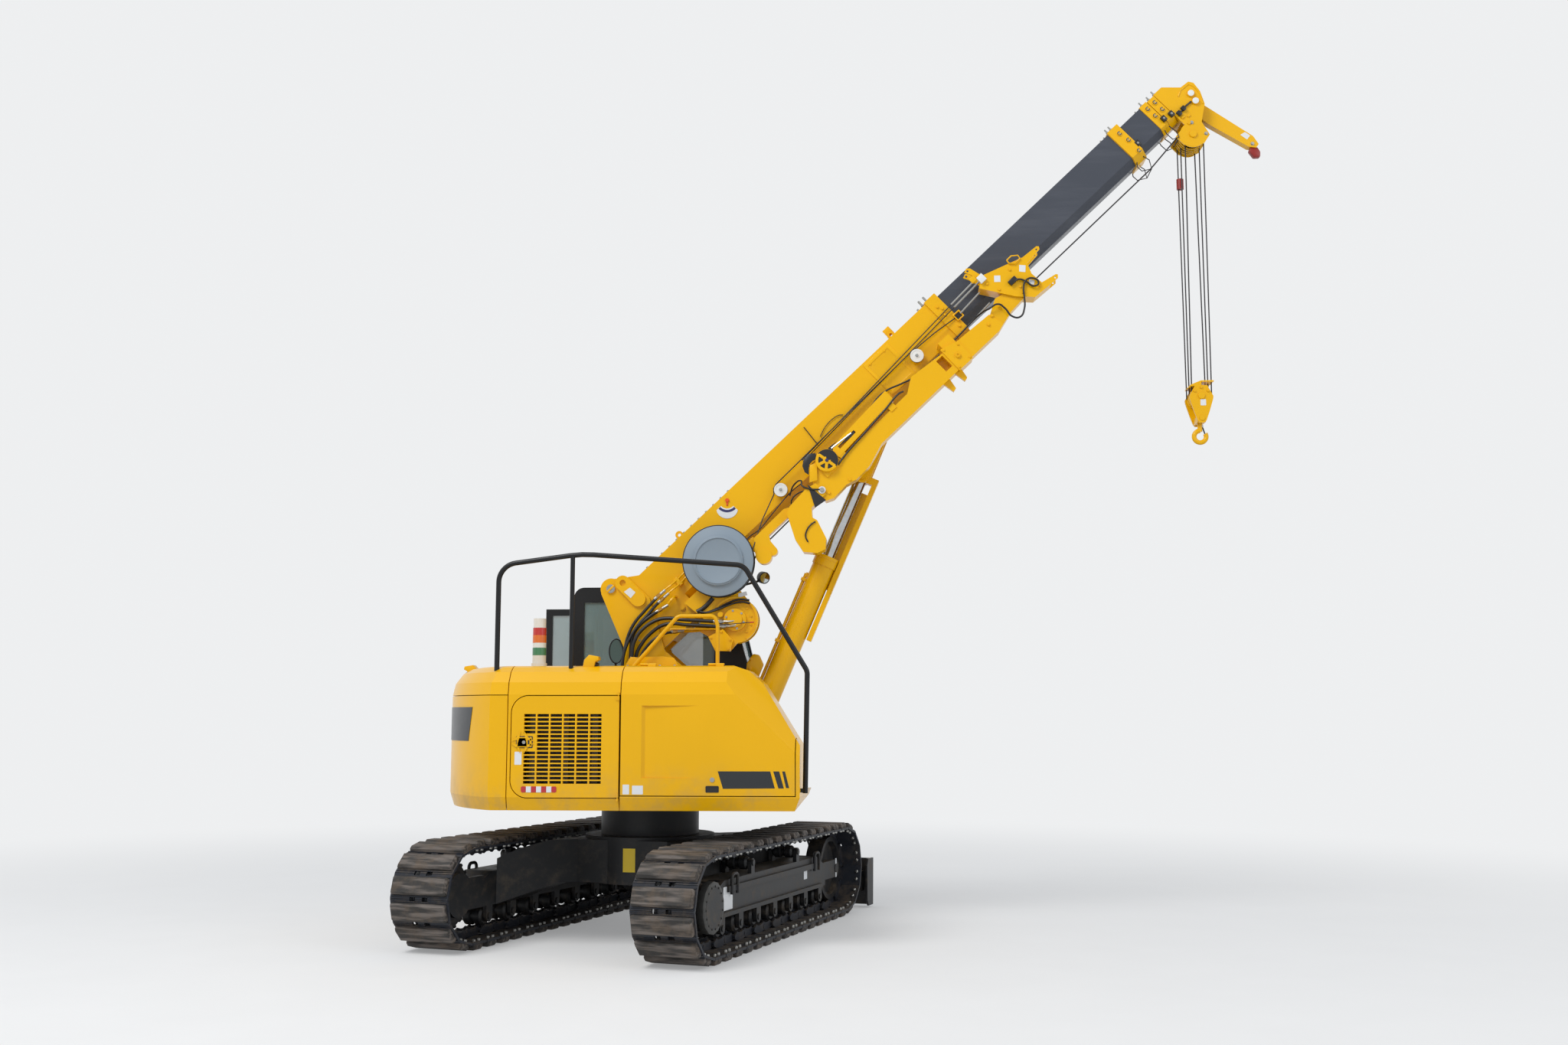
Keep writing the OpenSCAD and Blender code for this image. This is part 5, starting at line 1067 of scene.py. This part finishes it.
# %% Bright rods, handle, signs, pins and bolts of the jib's front
JIB_FACE, PIVOT_FACE = -0.419, -0.417
END = boom_side(JIB_FACE)
front = [tube(boom_line(points, y), radius, zinc, False) for radius, y, points in (
    (0.009, -0.300, [(3731, -231, -216), (4072, -234, -330)]),
    (0.009, -0.300, [(3731, -265, -216), (4055, -270, -330)]),
    (0.008, -0.300, [(3731, -340, -225), (3957, -335, -300)]),
    (0.008, -0.300, [(3731, -464, -225), (3955, -459, -300)]))]
front += [
    tube([END @ Vector((u, v, 0.012)) for u, v in ((4.276, -0.316), (4.328, -0.315), (4.371, -0.349),
                                                   (4.367, -0.379), (4.305, -0.382), (4.271, -0.345),
                                                   (4.276, -0.316))], 0.006, yellow_paint, False),
    block((3.985, -0.315, 0.0), (4.045, -0.250, 0.030), white_plastic, END),
    block((3.935, -0.262, 0.0), (3.985, -0.215, 0.022), yellow_paint, END),
    label([(4.075, -0.375), (4.112, -0.335), (4.150, -0.370), (4.113, -0.410)], 0.0012, END),
    label([(4.285, -0.455), (4.325, -0.415), (4.360, -0.455), (4.318, -0.495)], 0.0012, END),
    label([(4.270, -0.580), (4.300, -0.560), (4.322, -0.600), (4.292, -0.622)], 0.0012, END),
    block((4.150, -0.500, 0.0), (4.225, -0.455, 0.030), pad_black, END),
    bolts(0.012, yellow_paint, [on_side(JIB_FACE, u, v) for u, v in (
        (4.02, -0.345), (4.20, -0.555), (4.18, -0.60), (4.24, -0.39), (4.06, -0.45), (4.32, -0.66))]),
    bolts(0.010, yellow_paint, [on_side(PIVOT_FACE, u, v) for u, v in (
        (3.37, -0.50), (3.49, -0.545), (3.365, -0.69), (3.485, -0.69))]),
    round_piece(0.022, 0.014, yellow_paint, on_side(PIVOT_FACE, 3.425, -0.610),
                ((0.005, 0.003), (0.006, -0.006)), 24),
    bolts(0.014, yellow_paint, [on_side(-0.405, u, v) for u, v in (
        (3.86, -0.565), (3.96, -0.560), (3.79, -0.60), (1.86, -0.70), (2.06, -0.74))]),
    round_piece(0.030, 0.010, label_white, on_side(JIB_FACE, 1.833, -0.645), ((0.010, -0.002),), 32),
    round_piece(0.018, 0.020, zinc, on_side(JIB_FACE, 1.833, -0.645), ((0.004, 0.003),), 24),
    plate([(1.778, -0.526), (1.800, -0.729), (1.690, -0.712), (1.765, -0.560)], 0.006, pad_black, web_side, 0.0),
    # Over the jib's long slot, the dark plate is painted shade along the slot's edge, and the zinc bar in it is a
    # painted highlight for the bright inside of the slot.
    label([(2.115, -0.424), (2.345, -0.446), (2.375, -0.468), (2.345, -0.492), (2.120, -0.470), (2.095, -0.446)],
          0.003, boom_side(-0.4052), label_dark),
    tube(boom_line([(2130, -446), (2338, -467)], -0.411), 0.008, zinc, False),
]
weld("jib_fittings", front, "boom")

# %% [markdown]
# ## Frames and bolts on the base section
#
# Flat frames are welded to the boom's side where the jib's brackets pull, bolts hold the slide pads of the next
# section, and small bolts run along its top edge.

# %% Base section's frames, bolts and hole
pad_side = boom_side(-0.2035)
base = [
    plate([(2.834, -0.091), (3.118, -0.091), (3.118, -0.445), (2.834, -0.445)], 0.007, yellow_paint,
          boom_side(-0.1895), 0.002, ((0.030, -0.0045),)),
    block((3.672, -0.375, 0.0), (3.745, -0.305, 0.022), yellow_paint, pad_side, 0.003, ((0.010, -0.016),)),
    block((3.684, -0.363, 0.006), (3.733, -0.317, 0.008), pad_black, pad_side, 0.0),
    bolts(0.013, yellow_paint, [on_side(-0.204, u, v) for u, v in (
        (3.634, -0.162), (3.656, -0.201), (3.634, -0.255), (3.656, -0.410))]),
    bolts(0.012, yellow_paint, [on_side(-0.190, u, v) for u, v in ((3.05, -0.118), (2.887, -0.118))]),
    repeat(join([round_piece(0.010, 0.052, zinc, Matrix(), ((0.002, 0.004),), 12), bolt(0.014, zinc)]),
           [facing(on_boom(u, -0.056, y), ABOVE) for u in (3.568, 3.621) for y in (-0.13, 0.13)]),
    bolts(0.011, zinc, [facing(on_boom(0.34 + 0.085 * i, -0.070, side * 0.172), ABOVE) for i in range(12)
                        for side in (-1, 1)]),
    block((3.196, -0.026, -0.032), (3.264, 0.052, -0.020), yellow_paint, boom_side(0.0), 0.002),
]
weld("base_fittings", base, "boom")

# %% [markdown]
# ## The tracks
#
# A track is a chain of forty-two shoes. A shoe is a steel plate, notched where the chain passes, with a rubber
# pad bolted on it. One shoe is modelled lying flat, once with its links far apart and once with them close
# together, because the links of neighbouring shoes overlap. Copies then go round the same loop as in the CAD
# model, and each track replaces its plainer solid.

# %% Two shoes, lying flat
AXLES, WHEEL_HEIGHT, SHOE_MID = 3.0, 0.4075, 0.3765
SHOES, TRACK_MID = 42, 0.995
SHOE_PITCH = (2 * AXLES + 2 * math.pi * SHOE_MID) / SHOES
SHOE_HALF = (SHOE_PITCH - 0.012) / 2
SHOE_SAG = WHEEL_HEIGHT - math.sqrt(WHEEL_HEIGHT ** 2 - SHOE_HALF ** 2)
track_steel = make_chassis("track_steel", linear(30, 33, 40), 0.46)


def make_shoe(link_at):
    """One shoe: across it is X, the way it runs is Y, and its inner face is Z = 0."""
    edge = [(-0.250, 0.0), (-0.078, 0.0), (-0.078, 0.024), (-0.028, 0.024), (-0.028, 0.0), (0.028, 0.0),
            (0.028, 0.024), (0.078, 0.024), (0.078, 0.0), (0.250, 0.0)]
    edge = [(w, u - SHOE_HALF) for w, u in edge]
    parts = [plate(edge + [(-w, -u) for w, u in edge], 0.018, track_steel, Matrix(), 0.0),
             plate(rounded(-0.238, -0.068, 0.238, 0.068, 0.014, 2), 0.024, track_rubber,
                   Matrix.Translation((0, 0, 0.018)), 0.0, ((0.013, 0.020, "slope"),)),
             block((-0.242, -0.079, 0.018), (0.242, -0.071, 0.026), track_steel, None, 0.0),
             block((-0.242, 0.071, 0.018), (0.242, 0.079, 0.026), track_steel, None, 0.0)]
    for w, u in ((-0.215, -0.034), (-0.215, 0.034), (0.215, -0.034), (0.215, 0.034)):
        parts.append(round_piece(0.0140, 0.016, zinc, facing((w, u, 0.0), (0, 0, -1), (0, 1, 0)),
                                 ((0.005, 0.004, "slope"),), 8))
    bone = [(-0.097, -0.012), (-0.090, -0.052), (-0.060, -0.069), (-0.030, -0.056), (0.030, -0.056),
            (0.060, -0.069), (0.090, -0.052), (0.097, -0.012), (0.050, 0.0), (-0.050, 0.0)]
    for w in (-link_at - 0.016, link_at):
        parts.append(plate(bone, 0.016, track_steel, board(Vector((w, 0, 0)), Vector((0, 1, 0)), UP), 0.0))
    parts.append(round_piece(0.019, 0.150, track_steel,
                             board(Vector((-0.075, SHOE_PITCH / 2, -0.034)), Vector((0, 1, 0)), UP), (), 12))
    return join(parts)


def shoe_place(run, across):
    """The board on a shoe's inner face, after a run round the loop from the rear of the lower run."""
    bend, reach = math.pi * SHOE_MID, SHOE_MID - SHOE_SAG
    if run < AXLES:
        along, high, turned = run - AXLES / 2, -SHOE_MID, 0.0
    elif run < AXLES + bend:
        turned = (run - AXLES) / SHOE_MID
        along, high = AXLES / 2 + reach * math.sin(turned), -reach * math.cos(turned)
    elif run < 2 * AXLES + bend:
        along, high, turned = AXLES / 2 - (run - AXLES - bend), SHOE_MID, math.pi
    else:
        swung = (run - 2 * AXLES - bend) / SHOE_MID
        along, high, turned = -AXLES / 2 - reach * math.sin(swung), reach * math.cos(swung), math.pi + swung
    travel = FORE * math.cos(turned) + UP * math.sin(turned)
    inner = LEFT * across + FORE * along + UP * (WHEEL_HEIGHT + high) - LEFT.cross(travel) * 0.031
    return board(inner, LEFT, travel)


# %% Both tracks, shoe by shoe
for name, across in (("track_right", -TRACK_MID), ("track_left", TRACK_MID)):
    rows = []
    for first, link_at in ((0, 0.056), (1, 0.036)):
        places = [shoe_place((i + 0.5) * SHOE_PITCH, across) for i in range(first, SHOES, 2)]
        rows.append(repeat(make_shoe(link_at), places))
    shoes = weld(name + "_shoes", rows, "undercarriage", 25)
    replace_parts(shoes, name)

# %% [markdown]
# ## Drive covers and signs of the undercarriage
#
# The final drive ends in a faceted steel cover with a ring of bolts, worn brighter than the frame. Its face is
# stepped by insets. The signs are bare plates.

# %% Drive covers, one on each side
cover_steel = make_plain("cover_steel", linear(74, 74, 72), 0.5, 0.35, 26.0, 0.55, 0.002)
covers = []
for side in (-1, 1):
    out = LEFT * side
    face = facing(out * (TRACK_MID + 0.1830) - FORE * AXLES / 2 + UP * WHEEL_HEIGHT, out)
    covers += [
        round_piece(0.187, 0.052, cover_steel, face,
                    ((0.014, 0.008, "slope"), (0.045, -0.003), (0.03, 0.002)), 14, 0.003),
        bolts(0.0085, cover_steel, round_places(face, 0.150, range(13, 373, 24), 0.059)),
    ]
weld("drive_covers", covers, "undercarriage")

# %% Signs of the undercarriage
signs = [label(rounded(*corners), 0.0015, track_side(-1.1205)) for corners in (
    (-1.070, 0.330, -0.892, 0.502, 0.006), (0.662, 0.388, 0.742, 0.458, 0.004),
    (1.484, 0.330, 1.512, 0.494, 0.004))]
POST_RADIUS = 0.535


def post_outline(across, high):
    return 0.071 + 0.102 * across, 0.523 + 0.186 * high


signs.append(bent_plate(8, post_outline, 0.0015, POST_RADIUS, 0.0005, label_yellow, FORE, LEFT))
weld("undercarriage_signs", signs, "undercarriage")

# %% [markdown]
# ## The collars at the boom's head
#
# Each inner section ends in a yellow collar. Slide pads are held in it from the side by bolted discs, and tall
# screws on top press the upper pads down. One disc and one screw are modelled and copied to each collar.

# %% Slide pad discs, screws and blocks on the collars
def pad_disc():
    return join([round_piece(0.025, 0.005, yellow_paint, Matrix(), ((0.004, 0.0015, "slope"),), 24),
                 label(ring_part(0.014, 0.019, 30, 330, 14), 0.0085, Matrix(), label_dark),
                 bolts(0.006, zinc, [Matrix.Translation((0.0, v, 0.0065)) for v in (-0.008, 0.010)])])


def tall_screw():
    return join([round_piece(0.007, 0.040, zinc, Matrix(), ((0.002, 0.002, "slope"),), 10),
                 round_piece(0.014, 0.010, zinc, Matrix(), ((0.002, 0.002, "slope"),), 6)])


# Half width, height of the screws, places of discs and screws, lower corner of the block, and how deep its board
# and its inner face lie
collars = {
    "boom_2": (0.164, -0.073, [(5.815, -0.150), (5.829, -0.244), (5.826, -0.373)], (5.762, 5.802),
               (5.848, -0.345), (0.026, 0.012)),
    "boom_3": (0.138, -0.102, [(6.150, -0.160), (6.152, -0.247)], (6.150,), (6.160, -0.345), (0.0, 0.0015)),
    "boom_4": (0.133, -0.110, [(6.236, -0.160), (6.238, -0.247)], (6.234,), (6.238, -0.360), (0.0, 0.0015)),
    "boom_5": (0.126, -0.101, [], (6.300,), None, None),
}
BLOCK_OUT = 0.030
for body, (side, top, discs_at, screws_at, corner, depth) in collars.items():
    parts = [repeat(tall_screw(), [facing(on_boom(along, top, y), ABOVE) for along in screws_at
                                   for y in (0.04 - side, side - 0.04)])]
    if discs_at:
        right = [on_side(-side, u, v) for u, v in discs_at]
        left = [facing(on_boom(u, v, side), (0, 1, 0)) for u, v in discs_at]
        parts.append(repeat(pad_disc(), right + left))
    if corner:
        (u, v), (sunk, inner) = corner, depth
        parts.append(block((u, v, inner), (u + 0.040, v + 0.052, BLOCK_OUT), pad_black, boom_side(sunk - side)))
        parts.append(bolts(0.009, zinc, [
            on_side(-side, u + 0.020, v + 0.026) @ Matrix.Translation((0, 0, BLOCK_OUT - sunk))]))
    weld(body + "_collar_fittings", parts, body)

# %% Hoops that guide the hoist rope under the collars
hoops = {
    "boom_2": (0.115, [(5.760, -0.425), (5.732, -0.462), (5.734, -0.512), (5.806, -0.556), (5.848, -0.486),
                       (5.832, -0.420)]),
    "boom_3": (0.134, [(6.120, -0.395), (6.110, -0.432), (6.112, -0.500), (6.164, -0.522), (6.184, -0.470),
                       (6.172, -0.395)]),
}
HOOP_WIRE = 0.0045
for body, (y, hoop) in hoops.items():
    wire = [tube([on_boom(u, v, side * y) for u, v in hoop], HOOP_WIRE, rope_steel, False) for side in (-1, 1)]
    wire.append(tube([on_boom(*hoop[3], side * y) for side in (-1, 1)], HOOP_WIRE, rope_steel, False))
    weld(body + "_rope_hoop", wire, body, 60)

# %% Arm's weight, sign and pin, and the bosses of the head
HEAD_FACE, SHEAVE, GUARD = -0.126, (6.27, -0.585), (0.106, 0.116)
head = [
    plate([(6.542, -1.012), (6.575, -0.998), (6.618, -1.040), (6.606, -1.086), (6.572, -1.118), (6.532, -1.082)],
          0.060, red_paint, boom_side(0.030), 0.010),
    label([(6.585, -0.862), (6.630, -0.872), (6.641, -0.925), (6.596, -0.932)], 0.0015, boom_side(-0.040)),
    bolts(0.014, zinc, [on_side(-0.040, 6.602, -0.990), on_side(HEAD_FACE, 6.335, -0.505),
                        on_side(HEAD_FACE, 6.352, -0.660)]),
    tube([on_boom(s, t, HEAD_FACE) for s, t in ((6.420, -0.262), (6.470, -0.236), (6.560, -0.244), (6.580, -0.300),
                                                (6.566, -0.382), (6.520, -0.452))], 0.007, yellow_paint, False),
    *(round_piece(0.027, 0.006, white_plastic, on_side(-0.142, u, v), ((0.005, 0.002, "slope"),), 32)
      for u, v in ((6.511, -0.318), (6.491, -0.394))),
    tube([on_boom(s, t, -0.136) for s, t in ((6.315, -0.375), (6.400, -0.368), (6.462, -0.372))], 0.008,
         rope_steel, False),
    block((6.296, -0.398, 0.0), (6.330, -0.352, 0.026), pad_black, boom_side(HEAD_FACE)),
    block((6.352, -0.390, 0.0), (6.386, -0.348, 0.026), pad_black, boom_side(HEAD_FACE)),
]
for u, v in ((6.300, -0.430), (6.345, -0.455), (6.302, -0.505)):
    head.append(block((u, v, 0.0), (u + 0.030, v + 0.022, 0.010), yellow_paint, boom_side(HEAD_FACE)))
for y in (-0.120, -0.062, -0.022, 0.022, 0.062, 0.120):
    head.append(plate(ring_part(*GUARD, 150, 260, 11), 0.010, yellow_paint, on_side(y + 0.005, *SHEAVE), 0.0))
weld("head_fittings", head, "boom_5")

# %% [markdown]
# ## The hoist rope
#
# The rope leaves the drum, runs under the boom over a small roller and through the hoops to the head. It is
# taut between things of the machine, so it isn't a free cord. Each stretch between two sections is drawn
# straight from a place on one to a place on the next.

# %% The rope under the boom
ROPE, FALL_ROPE = 0.006, 0.0055
drum_run = [(0.560, -0.8145, -0.205), (1.104, -0.618, -0.165), (1.124, -0.6135, -0.164), (3.690, -0.562, -0.150)]
weld("hoist_rope_base", [tube([on_boom(*place) for place in drum_run], ROPE, rope_steel, False)], "boom", 60)
bodies = ("boom", "boom_2", "boom_3", "boom_4", "boom_5")
knots = [drum_run[-1], (5.800, -0.548, -0.085), (6.120, -0.513, -0.083), (6.180, -0.507, -0.062),
         (6.250, -0.502, -0.041)]
for first, second, start, end in zip(bodies, bodies[1:], knots, knots[1:]):
    a, b = on_boom(*start), on_boom(*end)
    line = tube([a.lerp(b, i / 8) for i in range(9)], ROPE, rope_steel, False)
    rope = weld("hoist_rope_" + second, [line], None, 60)
    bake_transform(rope)

# %% The six falls between the head and the hook block
HOOK_X, HEAD_HIGH, BLOCK_HIGH = 4.633785, 6.706639, 4.43
falls_at = [((4.538, 0.082), (4.545, 0.060)), ((4.552, 0.0), (4.5545, 0.0)), ((4.575, -0.082), (4.563, -0.060)),
            ((4.6865, 0.082), (4.7038, 0.060)), ((4.709, 0.0), (4.713, 0.0)), ((4.7295, -0.082), (4.728, -0.060))]
fall_ropes = [tube([(*low, BLOCK_HIGH), (*high, HEAD_HIGH)], FALL_ROPE, rope_steel, False)
              for high, low in falls_at]
fall_ropes = weld("fall_ropes", fall_ropes, None, 60)
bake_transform(fall_ropes)
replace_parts(fall_ropes, "falls")

# %% The roller and its plates under the base
roller = [
    round_piece(0.024, 0.070, white_plastic, on_side(-0.130, 1.114, -0.644), ((0.006, 0.002),), 24, 0.003),
    *(plate([(1.070, -0.500), (1.160, -0.500), (1.140, -0.668), (1.090, -0.668)], 0.008, yellow_paint, boom_side(y),
            0.002) for y in (-0.118, -0.204)),
]
weld("rope_roller", roller, "boom")

# %% [markdown]
# ## Hook and block
#
# The hook has a spring latch across its mouth, and the block's cheek has a small sign, which stays bare.

# %% Latch of the hook and the block's sign and bolts
latch_bar = [tube([(HOOK_X + x, 0, z) for x, z in ((0.016, 4.190), (0.024, 4.172), (0.040, 4.122))], 0.006,
                  pad_black, False),
             round_piece(0.010, 0.026, zinc, facing((HOOK_X + 0.018, 0.013, 4.186), (0, -1, 0)),
                         ((0.003, 0.001),), 12)]
weld("hook_latch", latch_bar, "hook", 60)
cheek = [label(rounded(HOOK_X - 0.010, 4.345, HOOK_X + 0.036, 4.398, 0.006), 0.0015, body_side(-0.106)),
         bolts(0.012, yellow_paint, [facing((HOOK_X + x, -0.106, z), (0, -1, 0))
                                     for x, z in ((-0.055, 4.47), (0.055, 4.47), (0.0, 4.50))])]
weld("block_fittings", cheek, "hook_block")

# %% [markdown]
# ## The luffing cylinder
#
# A channel covers the rod against blows. Its far wall shows behind the rod, and pipes and a valve block sit on
# the barrel. A board laid along the cylinder keeps them all in line with it.

# %% Guard wall, valve block and clamps
ACROSS = Vector((-UP_CYLINDER.z, 0.0, UP_CYLINDER.x))


def cylinder_side(y):
    return board(CYLINDER_FOOT + Vector((0, y, 0)), UP_CYLINDER, ACROSS)


wall = [plate([(1.72, -0.142), (2.64, -0.142), (2.64, -0.030), (1.80, -0.030)], 0.004, yellow_paint,
              cylinder_side(0.117), 0.0),
        block((1.72, -0.146, -0.113), (1.80, -0.140, 0.05), yellow_paint, cylinder_side(0.0), 0.002)]
weld("rod_guard_wall", wall, "luff_rod")
valve = [plate([(0.795, 2.100), (0.805, 2.202), (0.858, 2.281), (0.911, 2.271), (0.948, 2.190), (0.905, 2.085)],
               0.060, yellow_paint, body_side(0.03), 0.012),
         bolts(0.012, yellow_paint, [facing((x, -0.03, z), (0, -1, 0))
                                     for x, z in ((0.845, 2.235), (0.835, 2.160))])]
for u in (0.62, 1.18, 1.74):
    valve.append(block((u, 0.092, -0.030), (u + 0.028, 0.136, 0.030), yellow_paint, cylinder_side(0.0)))
for u in (0.30, 1.985):
    valve.append(ring(0.104, 0.005, yellow_paint, facing(CYLINDER_FOOT + UP_CYLINDER * u, UP_CYLINDER, (0, 1, 0))))
weld("barrel_fittings", valve, "luff_barrel")

# %% [markdown]
# ## The seat and the levers
#
# The cab's seat is a soft piece: a cushion and a back with side rolls and a sewn seam. Each pad starts as a
# subdivided box whose middle is pushed out and whose edges draw in, which is how filled foam stands under its
# cover. It is too small behind the glass to need a cloth simulation.

# %% Cushion and back
def soft_pad(name, low, high, crown):
    """A crowned, closed pad between two corners, with two sewn channels along it."""
    low, high = Vector(low), Vector(high)
    pad = fresh(bpy.ops.mesh.primitive_cube_add, size=1.0, location=(0, 0, 0))
    bpy.ops.object.mode_set(mode="EDIT")
    bpy.ops.mesh.select_all(action="SELECT")
    bpy.ops.mesh.subdivide(number_cuts=15)
    bpy.ops.object.mode_set(mode="OBJECT")
    size, middle = high - low, (low + high) / 2
    inset = 1.0 - 2 * crown / min(size)
    for vertex in pad.data.vertices:
        p = vertex.co * 2.0
        x, y, z = (share ** 2 for share in p)
        fall = (1 - y) * (1 - z), (1 - x) * (1 - z), (1 - x) * (1 - y)
        pull = inset * (1.0 - 0.05 * (x * y + y * z + x * z))
        groove = sum(math.exp(-((p.y - seam) / 0.045) ** 2) for seam in (-0.55, 0.55))
        swell = crown * (1 - 0.6 * min(groove, 1.0))
        vertex.co = middle + Vector([p[a] * size[a] / 2 * pull + (
            math.copysign(swell * fall[a], p[a]) if abs(p[a]) > 0.99 else 0.0) for a in range(3)])
    apply_modifier(pad, "SUBSURF", levels=1, render_levels=1)
    settle(pad, seat_fabric)
    bpy.ops.object.shade_smooth()
    pad.name = pad.data.name = name
    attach(pad, "upper")
    print(name, "has", len(pad.data.polygons), "faces")


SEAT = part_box("cab_seat")[0][2]
soft_pad("seat_cushion", (-0.380, 0.525, SEAT + 0.285), (0.095, 0.995, SEAT + 0.400), 0.018)
soft_pad("seat_back", (-0.480, 0.535, SEAT + 0.402), (-0.385, 0.985, SEAT + 0.915), 0.016)
CONSOLES = (0.41, 1.03)
seat_frame = [
    block((-0.415, 0.545, SEAT), (-0.005, 0.975, SEAT + 0.284), black_rubber, None, 0.02),
    block((-0.470, 0.62, SEAT + 0.286), (-0.385, 0.90, SEAT + 0.400), black_rubber, None, 0.01),
]
for y in CONSOLES:
    seat_frame.append(block((-0.245, y - 0.043, SEAT), (0.205, y + 0.043, SEAT + 0.545), black_rubber, None, 0.02))
    seat_frame.append(round_piece(0.028, 0.012, pad_black, facing((0.12, y, SEAT + 0.545), UP),
                                  ((0.008, 0.002),), 20))
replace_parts(weld("seat_base", seat_frame, "upper"), "cab_seat")
levers = []
for y in CONSOLES:
    levers.append(tube([(0.12, y, SEAT + 0.550), (0.122, y, SEAT + 0.640), (0.135, y, SEAT + 0.700)], 0.009, zinc))
    levers.append(round_piece(0.020, 0.085, pad_black, facing((0.135, y, SEAT + 0.690), (0.15, 0, 1)),
                              ((0.006, 0.008, "slope"),), 16, 0.004))
for y in (0.62, 0.72, 0.82):
    levers.append(tube([(0.60, y, SEAT + 0.002), (0.56, y, SEAT + 0.22), (0.50, y, SEAT + 0.36)], 0.009, zinc))
    levers.append(round_piece(0.018, 0.030, pad_black, facing((0.50, y, SEAT + 0.36), (-0.4, 0, 1)),
                              ((0.005, 0.006, "slope"),), 16))
weld("cab_levers", levers, "upper")

# %% Working lamp at the cab's roof
LAMP_AT, LAMP_OUT = Vector((0.905, 0.34, 2.958)), Vector((0.55, -0.8, -0.2))
lamp = [
    round_piece(0.052, 0.050, pad_black, facing(LAMP_AT, LAMP_OUT), ((0.005, -0.004), (0.003, 0.002)), 32, 0.004),
    round_piece(0.043, 0.003, mirror_face, facing(LAMP_AT + LAMP_OUT.normalized() * 0.047, LAMP_OUT), (), 32),
    tube([(0.60, 0.36, 2.862), (0.72, 0.36, 2.885), (0.905, 0.36, 2.935)], 0.010, pad_black, False),
]
weld("roof_lamp", lamp, "upper")

# %% [markdown]
# ## Floor and light
#
# The machine stands on a plain pale floor that runs up into a backdrop. A pale sky from all round and two
# large soft lamps give gentle shadows, at a level where a colour renders about as it was written.

# %% Floor
BACKDROP = (0.90, 0.91, 0.92)
floor = fresh(bpy.ops.mesh.primitive_plane_add, size=160.0, location=(0.0, 0.0, -0.001))
floor.name = "floor"
floor_net = Net("floor_paint")
grain = floor_net.noise(1.5, 6.0)
far = floor_net.node("ShaderNodeVectorMath", {"operation": "LENGTH"}, {0: floor_net.point}, "Value")
seen_far = (0.30 + 0.70 * floor_net.smooth(far, 3.5, 14.0)) * floor_net.seen()
paint = floor_net.node("ShaderNodeBsdfPrincipled", {}, {
    "Base Color": floor_net.blend(grain, linear(238, 238, 237), linear(232, 232, 231)), "Roughness": 0.9})
backdrop = floor_net.node("ShaderNodeEmission", {}, {"Color": BACKDROP, "Strength": 0.95})
surface = floor_net.node("ShaderNodeMixShader", {}, {0: seen_far, 1: paint, 2: backdrop})
floor_net.node("ShaderNodeOutputMaterial", {}, {"Surface": surface}, None)
floor.data.materials.append(floor_net.material)

# %% Sky and lamps
sky = Net("studio", bpy.data.worlds.new("studio"))
bpy.context.scene.world = sky.material
light = sky.node("ShaderNodeBackground", {}, {"Color": (0.86, 0.90, 0.96), "Strength": 0.56})
backdrop = sky.node("ShaderNodeBackground", {}, {"Color": BACKDROP, "Strength": 0.95})
surface = sky.node("ShaderNodeMixShader", {}, {0: sky.seen(), 1: light, 2: backdrop})
sky.node("ShaderNodeOutputWorld", {}, {"Surface": surface}, None)


def soft_lamp(name, place, target, size, power):
    data = bpy.data.lights.new(name, "AREA")
    data.shape = "DISK"
    data.size = size
    data.energy = power
    lamp = bpy.data.objects.new(name, data)
    bpy.context.scene.collection.objects.link(lamp)
    lamp.location = place
    lamp.rotation_euler = (Vector(target) - Vector(place)).to_track_quat("-Z", "Y").to_euler()
    return lamp


soft_lamp("key", (-6.0, -10.0, 15.0), (1.0, 0.0, 2.5), 8.0, 1780.0)
soft_lamp("fill", (12.0, -9.0, 8.0), (1.0, 0.0, 2.5), 8.0, 340.0)
